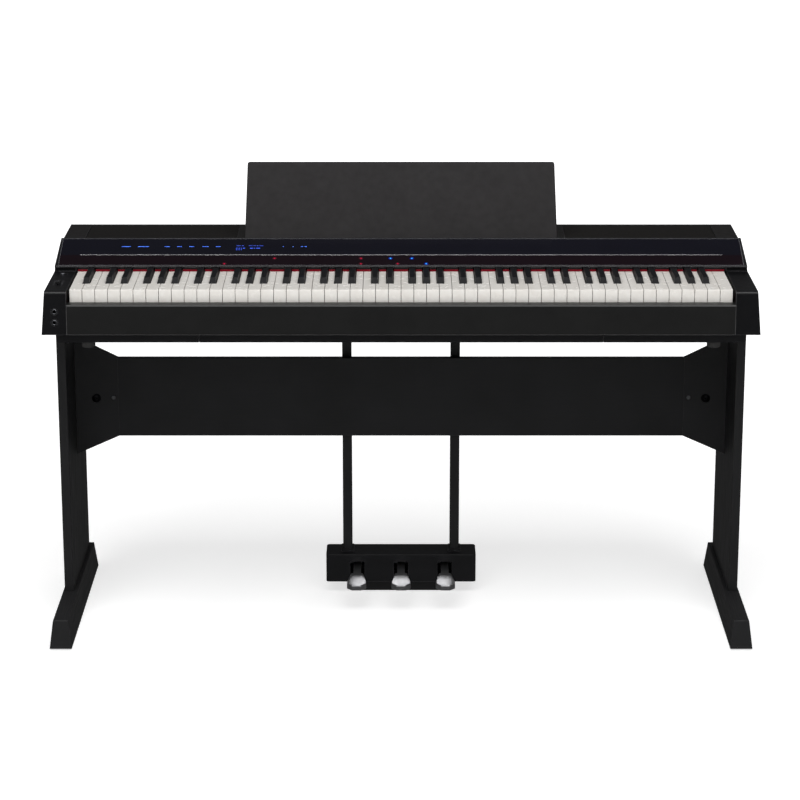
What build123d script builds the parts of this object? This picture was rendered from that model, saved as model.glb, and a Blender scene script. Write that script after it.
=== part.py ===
from build123d import *
import math
import os

# Digital piano on a two-leg stand with a three-pedal unit.
# Millimetres. +X to the player's right, +Y away from the player, +Z up.
# The origin is on the floor, under the middle of the two feet.

# ------------------------------------------------------------------ stand
STAND_HEIGHT = 621.0        # floor to the top of the legs
FOOT_LENGTH = 450.0
FOOT_HEIGHT = 54.0
FOOT_WIDTH = 42.0
FOOT_TOP_WIDTH = 28.5
FOOT_END_SLANT = 9.0
GLIDE_HEIGHT = 3.0
GLIDE_RADIUS = 13.0
GLIDES_PER_FOOT = 3
LEG_THICKNESS = 17.5
LEG_DEPTH = 263.0
LEG_REAR_SETBACK = 25.0     # from the rear end of the foot
LEG_INSET = 4.0             # leg's outer face behind the case's side
BOARD_THICKNESS = 15.0
BOARD_HEIGHT = 159.0
BOARD_LOW_Z = 331.0
BOARD_FRONT_Y = 78.0
WING_SPAN = 82.4
WING_RISE = 46.0
WING_DROP = 33.0
WING_ANGLE = 10.0
WING_BOLT_SETBACK = 40.0
WING_SCREW_SETBACK = 73.0
BRACKET_THICKNESS = 2.0
BRACKET_FLANGE = 32.0
BOLT_HEAD_RADIUS = 9.0
BOLT_HEAD_HEIGHT = 3.6
BOLT_SHANK_RADIUS = 4.0
FOOT_BOLT_ENGAGE = 40.0
SCREW_HEAD_RADIUS = 4.0
SCREW_HEAD_HEIGHT = 1.8
SCREW_SHANK_RADIUS = 1.9
SCREW_LENGTH = 11.0
HOLE_CLEARANCE = 0.1
BOARD_EDGE_ROUND = 1.5
GLIDE_END_GAP = 8.0         # foot's end to its outer glides
LEG_FLANGE = 48.0           # case bracket's height along the leg
CASE_BRACKET_FRONT = 30.0   # front case bracket, from the leg's front
CASE_BRACKET_REAR = 60.0    # rear case bracket's front edge, from the leg's rear
WING_BRACKET_HEIGHT = 120.0
SEAM_PLATE_HEIGHT = 100.0
SEAM_PLATE_INNER = 28.0
SEAM_PLATE_OUTER = 22.0

# ------------------------------------------------------------------ keyboard
KEY_PITCH = 23.5
WHITE_KEYS = 52
KEY_GAP = 1.0
KEY_TOP = 80.5              # white key's top over the case's underside
KEY_BODY_HEIGHT = 17.5
KEY_LIP_HEIGHT = 24.5
KEY_FRONT_SETBACK = 22.0    # from the case's front
KEY_HEAD_LENGTH = 44.8
KEY_PIVOT_DISTANCE = 212.0  # from the key's front to its pivot
KEY_TAIL = 8.0
KEY_WALL = 1.6
KEY_TOP_WALL = 3.0
KEY_DIP_DEG = 2.7
BLACK_WIDTH = 12.6
BLACK_TOP_WIDTH = 9.6
BLACK_RISE = 10.5
BLACK_REAR_RISE = 7.6
BLACK_FRONT_SLANT = 7.0
BLACK_CLEARANCE = 1.1
KEY_ROD_RADIUS = 2.0
KEY_ROD_DROP = 9.5          # rod's axis below the white keys' tops
RUNNING_CLEARANCE = 0.05
CHEEK_GAP = 4.2             # keyboard to the end block
# Black key after each white degree, C = 0, and how far it is off the joint line.
BLACK_SHIFT = {0: -2.0, 1: 2.6, 3: -2.8, 4: 0.0, 5: 2.8}
FIRST_DEGREE = 5            # the lowest white key is an A
MIDDLE_C = 23               # index of the middle C among the white keys
OCTAVE = ("c", "d", "e", "f", "g", "a", "b")
KEYBED_LEVEL = 19.0         # key frame's floor over the case's underside
KEYBED_THICKNESS = 3.0
KEYBED_RIB = 4.0
STOP_FELT = 4.0
STOP_GAP = 0.3
GUIDE_PIN_LOW = 30.0        # foot of the guide pins over the case's underside
WHITE_PIN = (8.0, 4.0)
BLACK_PIN = (6.0, 4.0)
CIRCUIT_SHEET = 1.6
DOME_RADIUS = 3.0

# ------------------------------------------------------------------ case
END_BLOCK_WIDTH = 46.3
CASE_DEPTH = 417.0
CASE_SETBACK = 3.0          # case's front behind the front of the feet
CASE_WALL = 3.0
SIDE_DRAFT = 0.076          # side face's inward lean, mm per mm of height
FACE_LEAN = 6.0
ARM_TOP = 81.0
ARM_ROUND = 6.0
SLIP_TOP = 56.0
SLIP_LEAN = 3.5
BELLY_DROP = 21.0
BELLY_SETBACK = 20.0
BELLY_SIDE_GAP = 2.0
BELLY_ROUND = 5.0
BELLY_SEAM = 374.0
BELLY_SEAM_GAP = 1.0
TOP_LEVEL = 116.0
REAR_ROUND = 17.0
SKIRT_LEVEL = 84.0
PANEL_FRONT = 158.0         # panel's lower edge, from the case's front
PANEL_FRONT_Z = 92.0
PANEL_REAR = 245.0
PANEL_REAR_Z = 125.0
PANEL_SHEET = 2.0
PANEL_BODY = 5.0
PANEL_LIP = 2.8
PANEL_SIDE_RIM = 4.0
TRIM_WIDTH = 1.6
TRIM_DEPTH = 0.8
TRIM_PLACE = 37.0           # up the panel from its lower edge
LAMP_RADIUS = 1.5
LAMP_UPPER = 26.4
LAMP_LOWER = 8.4
LAMPS_UPPER_X = (-240.0, -76.0, -20.0, 20.5)
LAMPS_LOWER_X = (-334.5, -76.0, -6.5, 47.5)
FELT_HEIGHT = 3.5
FELT_THICKNESS = 1.7
FELT_OVER_KEYS = 0.5
CAP_INNER = 611.0
CAP_SEAM = 1.0
CENTRE_HALF = 318.0
GRILLE_THICKNESS = 1.8
GRILLE_SINK = 1.2
GRILLE_GAP = 1.0
GRILLE_MARGIN = 3.0         # grille's pocket to the curved rear edge
BAFFLE_THICKNESS = 4.0
WOOFER_RADIUS = 60.0
WOOFER_X = 412.0
TWEETER_RADIUS = 25.0
TWEETER_X = 545.0
CASE_FOOT_RADIUS = 12.5
CASE_FOOT_HEIGHT = 11.0
CASE_FOOT_X = 580.0
MAIN_BOARD_WIDTH = 300.0
MAIN_BOARD_GAP = 25.0       # main board to the keys' tails and to the tray's rear
STANDOFF_X = 140.0
STANDOFF_RADIUS = 4.0
STANDOFF_INSET = 8.0
# Parts on the main board: X, offset in Y, width, depth and height.
CHIPS = ((-45.0, 0.0, 30.0, 30.0, 4.0), (9.0, 0.0, 18.0, 18.0, 3.4), (95.0, 0.0, 50.0, 24.0, 22.0))
CAPACITORS_X = (-120.0, -104.0, -88.0, -72.0)
CAPACITOR_RADIUS = 6.0
CAPACITOR_HEIGHT = 16.0

# ------------------------------------------------------------------ music rest
REST_WIDTH = 603.0
REST_TOP_WIDTH = 594.0
REST_LENGTH = 152.0         # along the plate, above the case
REST_THICKNESS = 4.5
REST_TILT = 21.7            # from upright
REST_SETBACK = 272.0
REST_TONGUE = 13.0
REST_CLEARANCE = 0.5
REST_CORNER = 5.0

# ------------------------------------------------------------------ controls and sockets
CONTROL_X = 637.0
SLIDER_SETBACK = 72.0
SLIDER_SLOT_LENGTH = 38.0
SLIDER_SLOT_WIDTH = 3.2
SLIDER_TRAVEL = 26.0
SLIDER_KNOB = (8.0, 9.0, 5.0)
SLIDER_START = -6.0         # knob's place at rest, from the middle of its travel
BUTTON_SETBACK = 137.0
BUTTON_RADIUS = 5.0
BUTTON_TRAVEL = 2.0
BUTTON_PROUD = 2.4
JACK_BORE = 3.2
JACK_COLLAR = 6.25
JACK_BODY = (15.0, 30.0, 13.0)
JACK_LEVELS = (43.5, 23.2)
JACK_SEAT = 9.0             # socket body's front behind the case's front
COLLAR_GAP = 0.25
SOCKET_LEVEL = 34.0
SOCKET_DEPTH = 14.0
SOCKET_GAP = 0.2
AUX_SOCKETS_X = (-150.0, -125.0)
SOCKETS_X = {"power": -205.0, "data": -178.0, "pedal": -95.0}

# ------------------------------------------------------------------ pedal unit
PEDAL_BOX_WIDTH = 300.0
PEDAL_BOX_DEPTH = 62.0
PEDAL_BOX_FRONT_Y = 73.0
PEDAL_BOX_HEIGHT = 58.0
PEDAL_BOX_ROUND = 6.0
PEDAL_BASE_HEIGHT = 25.0
PEDAL_BASE_WIDTH = 180.0
PEDAL_PITCH = 87.5
PEDAL_SLOT_WIDTH = 29.0
PEDAL_SLOT_HEIGHT = 43.0
PEDAL_ROD_RADIUS = 3.0
PEDAL_ROD_Z = 50.0
PEDAL_ROD_SETBACK = 17.0    # from the box's rear
PEDAL_HUB_RADIUS = 8.0
PEDAL_ARM_WIDTH = 15.0
PEDAL_ARM_HEIGHT = 9.0
TREAD_LENGTH = 70.0
TREAD_WIDTH = 38.0
TREAD_REAR_WIDTH = 24.0
TREAD_THICKNESS = 11.0
TREAD_TOP_Z = 59.0
TREAD_FRONT_Y = -37.0
TREAD_NOSE = 10.0
POST_WIDTH = 18.5
POST_DEPTH = 25.0
POST_X = 107.0
POST_FRONT_Y = 95.0
COLLAR_MARGIN = 3.5
COLLAR_HEIGHT = 5.0

# ------------------------------------------------------------------ places worked out from the sizes
KEYBOARD_HALF = KEY_PITCH * WHITE_KEYS / 2
BLOCK_INNER = KEYBOARD_HALF + CHEEK_GAP
CASE_HALF = BLOCK_INNER + END_BLOCK_WIDTH
LEG_OUTER = CASE_HALF - LEG_INSET
LEG_INNER = LEG_OUTER - LEG_THICKNESS
LEG_REAR = FOOT_LENGTH / 2 - LEG_REAR_SETBACK
LEG_FRONT = LEG_REAR - LEG_DEPTH
FOOT_TOP = GLIDE_HEIGHT + FOOT_HEIGHT
FOOT_MIDDLE = (LEG_OUTER + LEG_INNER) / 2 - 2.0
WING_INNER = LEG_INNER - WING_SPAN
WING_SLOPE = math.tan(math.radians(WING_ANGLE))

BASE = STAND_HEIGHT
FRONT = -FOOT_LENGTH / 2 + CASE_SETBACK
REAR = FRONT + CASE_DEPTH
TOP = BASE + TOP_LEVEL
BELLY = BASE - BELLY_DROP
BELLY_HALF = LEG_INNER - BELLY_SIDE_GAP
BELLY_FRONT = FRONT + BELLY_SETBACK
BELLY_REAR = REAR - 7.0

KEY_Z = BASE + KEY_TOP
KEY_LOW_Z = KEY_Z - KEY_BODY_HEIGHT
KEY_FRONT = FRONT + KEY_FRONT_SETBACK
BLACK_FRONT = KEY_FRONT + KEY_HEAD_LENGTH + BLACK_CLEARANCE
PIVOT_Y = KEY_FRONT + KEY_PIVOT_DISTANCE
PIVOT_Z = KEY_Z - KEY_ROD_DROP
KEY_REAR = PIVOT_Y + KEY_TAIL
DIP = math.tan(math.radians(KEY_DIP_DEG))

PANEL_Y0 = FRONT + PANEL_FRONT
PANEL_Z0 = BASE + PANEL_FRONT_Z
PANEL_Y1 = FRONT + PANEL_REAR
PANEL_Z1 = BASE + PANEL_REAR_Z
PANEL_ANGLE = math.atan2(PANEL_Z1 - PANEL_Z0, PANEL_Y1 - PANEL_Y0)
PANEL_LENGTH = math.hypot(PANEL_Z1 - PANEL_Z0, PANEL_Y1 - PANEL_Y0)
LIP_UNDER = PANEL_Z0 - PANEL_LIP
SKIRT_FRONT = PANEL_Y0 + 2.5
SKIRT_REAR = SKIRT_FRONT + 2.5
PANEL_WALL_Y = PANEL_Y1 + 3.0
PANEL_INNER_Y = PANEL_WALL_Y - 2.5
# The frame's underside runs level behind the lip as far as this, then slopes up.
PANEL_TURN_Y = PANEL_Y0 + (PANEL_BODY - PANEL_LIP * math.cos(PANEL_ANGLE)) / math.sin(PANEL_ANGLE)

FRONT_RAIL = (KEY_FRONT + 10, KEY_FRONT + 28)
BLACK_RAIL = (BLACK_FRONT + 8, BLACK_FRONT + 28)
BOARD_ROW = (SKIRT_REAR - 10, SKIRT_REAR + 40)

PEDAL_BOX_REAR = PEDAL_BOX_FRONT_Y + PEDAL_BOX_DEPTH
PEDAL_BOX_TOP = PEDAL_BASE_HEIGHT + PEDAL_BOX_HEIGHT
PEDAL_ROD_Y = PEDAL_BOX_REAR - PEDAL_ROD_SETBACK


# ------------------------------------------------------------------ shapes used everywhere
def block(x0, x1, y0, y1, z0, z1):
    """Box between two corners."""
    return Pos((x0 + x1) / 2, (y0 + y1) / 2, (z0 + z1) / 2) * Box(x1 - x0, y1 - y0, z1 - z0)


def along_x(points, x0, x1):
    """Outline in Y and Z, run from x0 to x1."""
    face = make_face(Polyline(*points, close=True))
    return extrude(Plane.YZ.offset(x0) * face, amount=x1 - x0)


def along_y(points, y0, y1):
    """Outline in X and Z, run from y0 to y1."""
    face = make_face(Polyline(*points, close=True))
    plane = Plane(origin=(0, y1, 0), x_dir=(1, 0, 0), z_dir=(0, -1, 0))
    return extrude(plane * face, amount=y1 - y0)


def along_z(points, z0, z1):
    """Outline in X and Y, run from z0 to z1."""
    face = make_face(Polyline(*points, close=True))
    return extrude(Plane.XY.offset(z0) * face, amount=z1 - z0)


def rod(radius, x0, x1, y, z):
    """Round bar along X."""
    return Pos((x0 + x1) / 2, y, z) * Rot(0, 90, 0) * Cylinder(radius, x1 - x0)


def pin_y(radius, y0, y1, x, z):
    """Round bar along Y."""
    return Pos(x, (y0 + y1) / 2, z) * Rot(90, 0, 0) * Cylinder(radius, y1 - y0)


def pin_z(radius, z0, z1, x, y):
    """Round bar along Z."""
    return Pos(x, y, (z0 + z1) / 2) * Cylinder(radius, z1 - z0)


def mirrored(shape):
    """The same piece on the other side."""
    return mirror(shape, about=Plane.YZ)


def group(shapes):
    """Separate solids in one node."""
    solids = [solid for shape in shapes for solid in shape.solids()]
    return Compound(children=solids)


def panel_point(up, out=0.0):
    """Y and Z of a point on the sloping panel: up along it, out along its normal."""
    y = PANEL_Y0 + up * math.cos(PANEL_ANGLE) - out * math.sin(PANEL_ANGLE)
    z = PANEL_Z0 + up * math.sin(PANEL_ANGLE) + out * math.cos(PANEL_ANGLE)
    return (y, z)


def panel_under(y):
    """Height of the panel frame's underside at y."""
    y0, z0 = panel_point(0, -PANEL_BODY)
    return max(LIP_UNDER, z0 + (y - y0) * math.tan(PANEL_ANGLE))


def outside_draft(inset=0.0):
    """What lies outside the right side's leaning face, or inset mm inside it."""
    low = CASE_HALF - inset
    high_z = PANEL_Z1 + 20
    high = low - SIDE_DRAFT * (high_z - BASE)
    outline = [(low, BASE), (low, BASE - 30), (low + 40, BASE - 30),
               (low + 40, high_z), (high, high_z)]
    return along_y(outline, FRONT - 10, REAR + 10)


# ------------------------------------------------------------------ fasteners
def screw():
    """Pan-head screw: head at the origin, shank along +Z."""
    head = Pos(0, 0, -SCREW_HEAD_HEIGHT / 2) * Cylinder(SCREW_HEAD_RADIUS, SCREW_HEAD_HEIGHT)
    head = fillet(head.edges().group_by(Axis.Z)[0], SCREW_HEAD_HEIGHT * 0.4)
    shank = Pos(0, 0, SCREW_LENGTH / 2) * Cylinder(SCREW_SHANK_RADIUS, SCREW_LENGTH)
    cross = Box(SCREW_HEAD_RADIUS, 0.9, 1.2) + Box(0.9, SCREW_HEAD_RADIUS, 1.2)
    return head + shank - Pos(0, 0, -SCREW_HEAD_HEIGHT) * cross


def bolt(length):
    """Domed bolt: head at the origin, shank along +Z."""
    rise = BOLT_HEAD_HEIGHT
    sphere = (BOLT_HEAD_RADIUS ** 2 + rise ** 2) / (2 * rise)
    dome = Pos(0, 0, sphere - rise) * Sphere(sphere)
    disc = Pos(0, 0, -rise / 2) * Cylinder(BOLT_HEAD_RADIUS, rise)
    shank = Pos(0, 0, length / 2) * Cylinder(BOLT_SHANK_RADIUS, length)
    socket = Pos(0, 0, -rise) * extrude(RegularPolygon(2.9, 6), amount=2.0)
    return (dome & disc) + shank - socket


def place(shape, x, y, z, direction):
    """Turns a piece built along +Z to point along a direction."""
    return Plane(origin=(x, y, z), z_dir=direction).location * shape


def wing_front(x):
    """Y of a wing's front face at a distance x from the middle."""
    return BOARD_FRONT_Y - (x - WING_INNER) * WING_SLOPE


def wing_rear(x):
    """Y of a wing's rear face."""
    return wing_front(x) + BOARD_THICKNESS / math.cos(math.radians(WING_ANGLE))


def wing_fixings():
    """Place and direction of the bolt and the screw on the front of the right wing."""
    z = BOARD_LOW_Z + BOARD_HEIGHT / 2
    inward = (math.sin(math.radians(WING_ANGLE)), math.cos(math.radians(WING_ANGLE)), 0)
    bolt_x = LEG_INNER - WING_BOLT_SETBACK
    screw_x = LEG_INNER - WING_SCREW_SETBACK
    return (bolt_x, wing_front(bolt_x), z, inward), (screw_x, wing_front(screw_x), z, inward)


def foot_bolt_places():
    """X and Y of the bolts that hold the right leg on its foot."""
    quarter = LEG_DEPTH / 4
    x = (LEG_INNER + LEG_OUTER) / 2
    return [(x, LEG_FRONT + quarter), (x, LEG_REAR - quarter)]


def case_bracket_places():
    """Y ranges of the angle brackets between the right leg and the case."""
    width = BRACKET_FLANGE
    front = LEG_FRONT + CASE_BRACKET_FRONT
    rear = LEG_REAR - CASE_BRACKET_REAR
    return [(front, front + width), (rear, rear + width)]


def stand_bolts():
    """Two wing bolts and four foot bolts."""
    wing_place = wing_fixings()[0]
    right = [place(bolt(BOARD_THICKNESS + BRACKET_THICKNESS + 4), *wing_place)]
    for x, y in foot_bolt_places():
        head_z = GLIDE_HEIGHT + BOLT_HEAD_HEIGHT + 1
        right.append(place(bolt(FOOT_TOP - head_z + FOOT_BOLT_ENGAGE), x, y, head_z, (0, 0, 1)))
    return group(right + [mirrored(piece) for piece in right])


def small_screws():
    """Pan-head screws of the wings, the brackets and the case brackets."""
    right = [place(screw(), *wing_fixings()[1])]
    for low_y, high_y in case_bracket_places():
        middle = (low_y + high_y) / 2
        leg_z = BELLY - LEG_FLANGE / 2
        right.append(place(screw(), LEG_INNER - BRACKET_THICKNESS, middle, leg_z, (1, 0, 0)))
        case_x = BELLY_HALF - BRACKET_FLANGE / 2
        right.append(place(screw(), case_x, middle, BELLY - BRACKET_THICKNESS, (0, 0, 1)))
    return group(right + [mirrored(piece) for piece in right])


def screw_hole(x, y, z, direction, length):
    """Cutter for a screw's shank."""
    hole = Pos(0, 0, length / 2) * Cylinder(SCREW_SHANK_RADIUS + HOLE_CLEARANCE, length)
    return place(hole, x, y, z, direction)


# ------------------------------------------------------------------ stand pieces
def leg():
    """Right leg: a flat board with eased front edges."""
    board = block(LEG_INNER, LEG_OUTER, LEG_FRONT, LEG_REAR, FOOT_TOP, BASE)
    board = fillet(board.edges().filter_by(Axis.Z), BOARD_EDGE_ROUND)
    hole = BOLT_SHANK_RADIUS + HOLE_CLEARANCE
    for x, y in foot_bolt_places():
        board -= pin_z(hole, FOOT_TOP - 1, FOOT_TOP + FOOT_BOLT_ENGAGE + 1, x, y)
    for low_y, high_y in case_bracket_places():
        middle = (low_y + high_y) / 2
        board -= screw_hole(LEG_INNER - 1, middle, BELLY - LEG_FLANGE / 2, (1, 0, 0), SCREW_LENGTH)
    return board


def foot():
    """Right foot: a bar that narrows upwards, with slanted ends."""
    low = Plane.XY.offset(GLIDE_HEIGHT) * Rectangle(FOOT_WIDTH, FOOT_LENGTH)
    high = Plane.XY.offset(FOOT_TOP) * Rectangle(FOOT_TOP_WIDTH, FOOT_LENGTH - 2 * FOOT_END_SLANT)
    bar = loft([low.face(), high.face()])
    bar = fillet(bar.edges().group_by(Axis.Z)[-1], BOARD_EDGE_ROUND)
    bar = Pos(FOOT_MIDDLE, 0, 0) * bar
    for x, y in foot_bolt_places():
        bar -= pin_z(BOLT_SHANK_RADIUS + HOLE_CLEARANCE, 0, FOOT_TOP + 1, x, y)
        bar -= pin_z(BOLT_HEAD_RADIUS + 1, 0, GLIDE_HEIGHT + BOLT_HEAD_HEIGHT + 1, x, y)
    return bar


def foot_glides():
    """Felt-faced glides under both feet."""
    reach = FOOT_LENGTH / 2 - GLIDE_RADIUS - GLIDE_END_GAP
    pads = []
    for side in (-1, 1):
        for step in range(GLIDES_PER_FOOT):
            y = -reach + 2 * reach * step / (GLIDES_PER_FOOT - 1)
            pads.append(pin_z(GLIDE_RADIUS, 0, GLIDE_HEIGHT, side * FOOT_MIDDLE, y))
    return group(pads)


def back_board():
    """Board across the back, between the wings."""
    rear = BOARD_FRONT_Y + BOARD_THICKNESS
    return block(-WING_INNER, WING_INNER, BOARD_FRONT_Y, rear, BOARD_LOW_Z, BOARD_LOW_Z + BOARD_HEIGHT)


def wing():
    """Right wing: a plate that widens towards the leg and turns forward."""
    low = BOARD_LOW_Z
    high = BOARD_LOW_Z + BOARD_HEIGHT
    outline = [(WING_INNER, low), (LEG_INNER, low - WING_DROP),
               (LEG_INNER, high + WING_RISE), (WING_INNER, high)]
    face = along_y(outline, wing_front(LEG_INNER) - 10, BOARD_FRONT_Y + BOARD_THICKNESS + 10)
    rear = BOARD_THICKNESS / math.cos(math.radians(WING_ANGLE))
    band = [(WING_INNER, BOARD_FRONT_Y), (LEG_INNER, wing_front(LEG_INNER)),
            (LEG_INNER, wing_front(LEG_INNER) + rear), (WING_INNER, BOARD_FRONT_Y + rear)]
    plate = face & along_z(band, low - WING_DROP - 10, high + WING_RISE + 10)
    bolt_place, screw_place = wing_fixings()
    hole = Cylinder(BOLT_SHANK_RADIUS + HOLE_CLEARANCE, BOARD_THICKNESS * 3)
    plate -= place(hole, *bolt_place)
    plate -= screw_hole(*screw_place, BOARD_THICKNESS * 2)
    return plate


def wing_bracket():
    """Angle between the right wing's rear face and the leg."""
    middle = BOARD_LOW_Z + BOARD_HEIGHT / 2
    thin = BRACKET_THICKNESS
    inner = LEG_INNER - WING_BOLT_SETBACK - 12
    corner = wing_rear(LEG_INNER)
    outline = [(LEG_INNER, corner), (LEG_INNER, corner + BRACKET_FLANGE),
               (LEG_INNER - thin, corner + BRACKET_FLANGE), (LEG_INNER - thin, corner + thin),
               (inner, wing_rear(inner) + thin), (inner, wing_rear(inner))]
    angle = along_z(outline, middle - WING_BRACKET_HEIGHT / 2, middle + WING_BRACKET_HEIGHT / 2)
    bolt_place = wing_fixings()[0]
    return angle - place(Cylinder(BOLT_SHANK_RADIUS + HOLE_CLEARANCE, BOARD_THICKNESS * 4), *bolt_place)


def seam_plate():
    """Bent plate behind the joint between the board and the right wing."""
    middle = BOARD_LOW_Z + BOARD_HEIGHT / 2
    thin = BRACKET_THICKNESS
    seam_rear = wing_rear(WING_INNER)
    inner = WING_INNER - SEAM_PLATE_INNER
    outer = WING_INNER + SEAM_PLATE_OUTER
    outline = [(inner, seam_rear), (WING_INNER, seam_rear), (outer, wing_rear(outer)),
               (outer, wing_rear(outer) + thin), (WING_INNER, seam_rear + thin), (inner, seam_rear + thin)]
    plate = along_z(outline, middle - SEAM_PLATE_HEIGHT / 2, middle + SEAM_PLATE_HEIGHT / 2)
    x, y, z, inward = wing_fixings()[1]
    return plate - screw_hole(x, y, z, inward, BOARD_THICKNESS * 3)


def case_bracket(low_y, high_y):
    """Angle that ties the right leg to the case's underside."""
    thin = BRACKET_THICKNESS
    low = BELLY - LEG_FLANGE
    reach = BELLY_HALF - BRACKET_FLANGE
    outline = [(LEG_INNER, low), (LEG_INNER, BELLY), (reach, BELLY), (reach, BELLY - thin),
               (LEG_INNER - thin, BELLY - thin), (LEG_INNER - thin, low)]
    angle = along_y(outline, low_y, high_y)
    middle = (low_y + high_y) / 2
    angle -= screw_hole(LEG_INNER - 10, middle, BELLY - LEG_FLANGE / 2, (1, 0, 0), 20)
    angle -= screw_hole(BELLY_HALF - BRACKET_FLANGE / 2, middle, BELLY - 10, (0, 0, 1), 20)
    return angle


def stand_brackets():
    """All steel brackets of the stand."""
    right = [wing_bracket(), seam_plate()]
    right += [case_bracket(*ends) for ends in case_bracket_places()]
    return group(right + [mirrored(piece) for piece in right])


# ------------------------------------------------------------------ case
def right_end_block():
    """Hollow moulding beside the keys: the arm in front, the side wall behind."""
    face_top = FRONT + FACE_LEAN
    arm = BASE + ARM_TOP
    under = TOP - CASE_WALL
    outline = [(FRONT, BASE), (face_top, arm), (SKIRT_FRONT, arm), (SKIRT_FRONT, LIP_UNDER),
               (PANEL_TURN_Y, LIP_UNDER), (PANEL_INNER_Y, panel_under(PANEL_INNER_Y)), (PANEL_INNER_Y, under),
               (REAR - REAR_ROUND, under), (REAR - CASE_WALL, TOP - REAR_ROUND),
               (REAR - CASE_WALL, BASE + SKIRT_LEVEL), (REAR, BASE + SKIRT_LEVEL), (REAR, BASE)]
    shell = along_x(outline, BLOCK_INNER, CASE_HALF) - outside_draft()
    edge = shell.edges().filter_by(Axis.X).sort_by_distance((CASE_HALF, face_top, arm))[0]
    shell = fillet(edge, ARM_ROUND)
    wall = CASE_WALL
    slope_y = PANEL_Y0 + 12
    hollow = [(FRONT + wall + 1, BASE + wall), (face_top + wall + 1, arm - wall - 2),
              (face_top + wall + 4, arm - wall), (SKIRT_FRONT + 3, arm - wall),
              (slope_y, panel_under(slope_y) - wall),
              (PANEL_Y1 - 2, panel_under(PANEL_Y1 - 2) - 2 * wall), (REAR - REAR_ROUND - 1, under - wall),
              (REAR - 2 * wall, TOP - REAR_ROUND - 1), (REAR - 2 * wall, BASE + wall)]
    shell -= along_x(hollow, BLOCK_INNER + wall, CASE_HALF) - outside_draft(wall)
    shell -= block(BLOCK_INNER + wall, BELLY_HALF - 2, BELLY_FRONT + 4, REAR - 12, BASE - 1, BASE + wall + 1)
    return shell


def slider_range():
    """Y of the two ends of the volume slider's slot."""
    middle = FRONT + SLIDER_SETBACK
    return middle - SLIDER_SLOT_LENGTH / 2, middle + SLIDER_SLOT_LENGTH / 2


def left_end_block():
    """The other end block, with the controls and the headphone sockets."""
    shell = mirrored(right_end_block())
    top = BASE + ARM_TOP
    y0, y1 = slider_range()
    half = SLIDER_SLOT_WIDTH / 2
    shell -= block(-CONTROL_X - half, -CONTROL_X + half, y0, y1, top - 10, top + 1)
    shell -= pin_z(BUTTON_RADIUS + 0.4, top - 10, top + 1, -CONTROL_X, FRONT + BUTTON_SETBACK)
    for level in JACK_LEVELS:
        shell -= pin_y(JACK_COLLAR + COLLAR_GAP, FRONT - 1, FRONT + 12, -CONTROL_X, BASE + level)
    inner = -CONTROL_X - JACK_BODY[0] / 2
    seat = FRONT + JACK_SEAT
    shell += block(inner - 2.5, inner, seat, seat + JACK_BODY[1], BASE + 1, BASE + ARM_TOP - 1)
    return shell


def headphone_jacks():
    """Two socket bodies with round collars in the left end block's front."""
    jacks = []
    wide, deep, tall = JACK_BODY
    for level in JACK_LEVELS:
        face = FRONT + FACE_LEAN * level / ARM_TOP
        z = BASE + level
        seat = FRONT + JACK_SEAT
        rear = seat + deep
        body = block(-wide / 2, wide / 2, seat, rear, z - tall / 2, z + tall / 2)
        body = Pos(-CONTROL_X, 0, 0) * body
        collar = pin_y(JACK_COLLAR, face - 1.2, seat + 0.5, -CONTROL_X, z)
        collar = chamfer(collar.edges().group_by(Axis.Y)[0], 0.6)
        jacks.append(body + collar - pin_y(JACK_BORE, face - 2, rear - 2, -CONTROL_X, z))
    return group(jacks)


def volume_slider():
    """Knob, stem and shoe of the slider, part of the way along its slot."""
    wide, deep, tall = SLIDER_KNOB
    top = BASE + ARM_TOP
    y = FRONT + SLIDER_SETBACK + SLIDER_START
    stem = SLIDER_SLOT_WIDTH / 2 - 0.4
    low = top + 0.5
    left = -CONTROL_X - wide / 2
    knob = block(left, left + wide, y - deep / 2, y + deep / 2, low, low + tall)
    knob = fillet(knob.edges().group_by(Axis.Z)[-1], 1.2)
    grip = pin_z(0.6, 0, wide, 0, 0)
    knob -= Pos(left, y, low + tall) * Rot(0, 90, 0) * grip
    knob += block(-CONTROL_X - stem, -CONTROL_X + stem, y - 2, y + 2, top - 7, top + 1)
    knob += block(-CONTROL_X - 3.5, -CONTROL_X + 3.5, y - 4, y + 4, top - 8.5, top - 4.5)
    return knob


def power_button():
    """Round push button with a collar below the arm's top wall."""
    top = BASE + ARM_TOP
    y = FRONT + BUTTON_SETBACK
    cap = pin_z(BUTTON_RADIUS, top - 8, top + BUTTON_PROUD, -CONTROL_X, y)
    cap = fillet(cap.edges().group_by(Axis.Z)[-1], 0.9)
    return cap + pin_z(BUTTON_RADIUS + 2, top - 6, top - 3.5, -CONTROL_X, y)


def key_slip():
    """Front rail below the keys: a folded section from block to block."""
    top = BASE + SLIP_TOP
    lean = SLIP_LEAN
    ledge = KEY_FRONT - 1.5
    wall = CASE_WALL
    outline = [(FRONT, BASE), (FRONT + lean, top - 2.5), (FRONT + lean + 2.5, top), (ledge, top + 1),
               (ledge, top + 1 - wall), (FRONT + lean + wall + 1.5, top - wall - 0.5),
               (FRONT + wall + 0.5, BASE + wall + 2), (FRONT + wall + 2.5, BASE + wall),
               (BELLY_FRONT + 12, BASE + wall), (BELLY_FRONT + 12, BASE)]
    rail = along_x(outline, -BLOCK_INNER, BLOCK_INNER)
    edges = rail.edges().filter_by(Axis.X)
    nose = edges.sort_by_distance((0, FRONT + lean + 2.5, top))[0]
    low_nose = edges.sort_by_distance((0, FRONT + lean, top - 2.5))[0]
    return fillet([nose, low_nose], 1.5)


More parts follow.
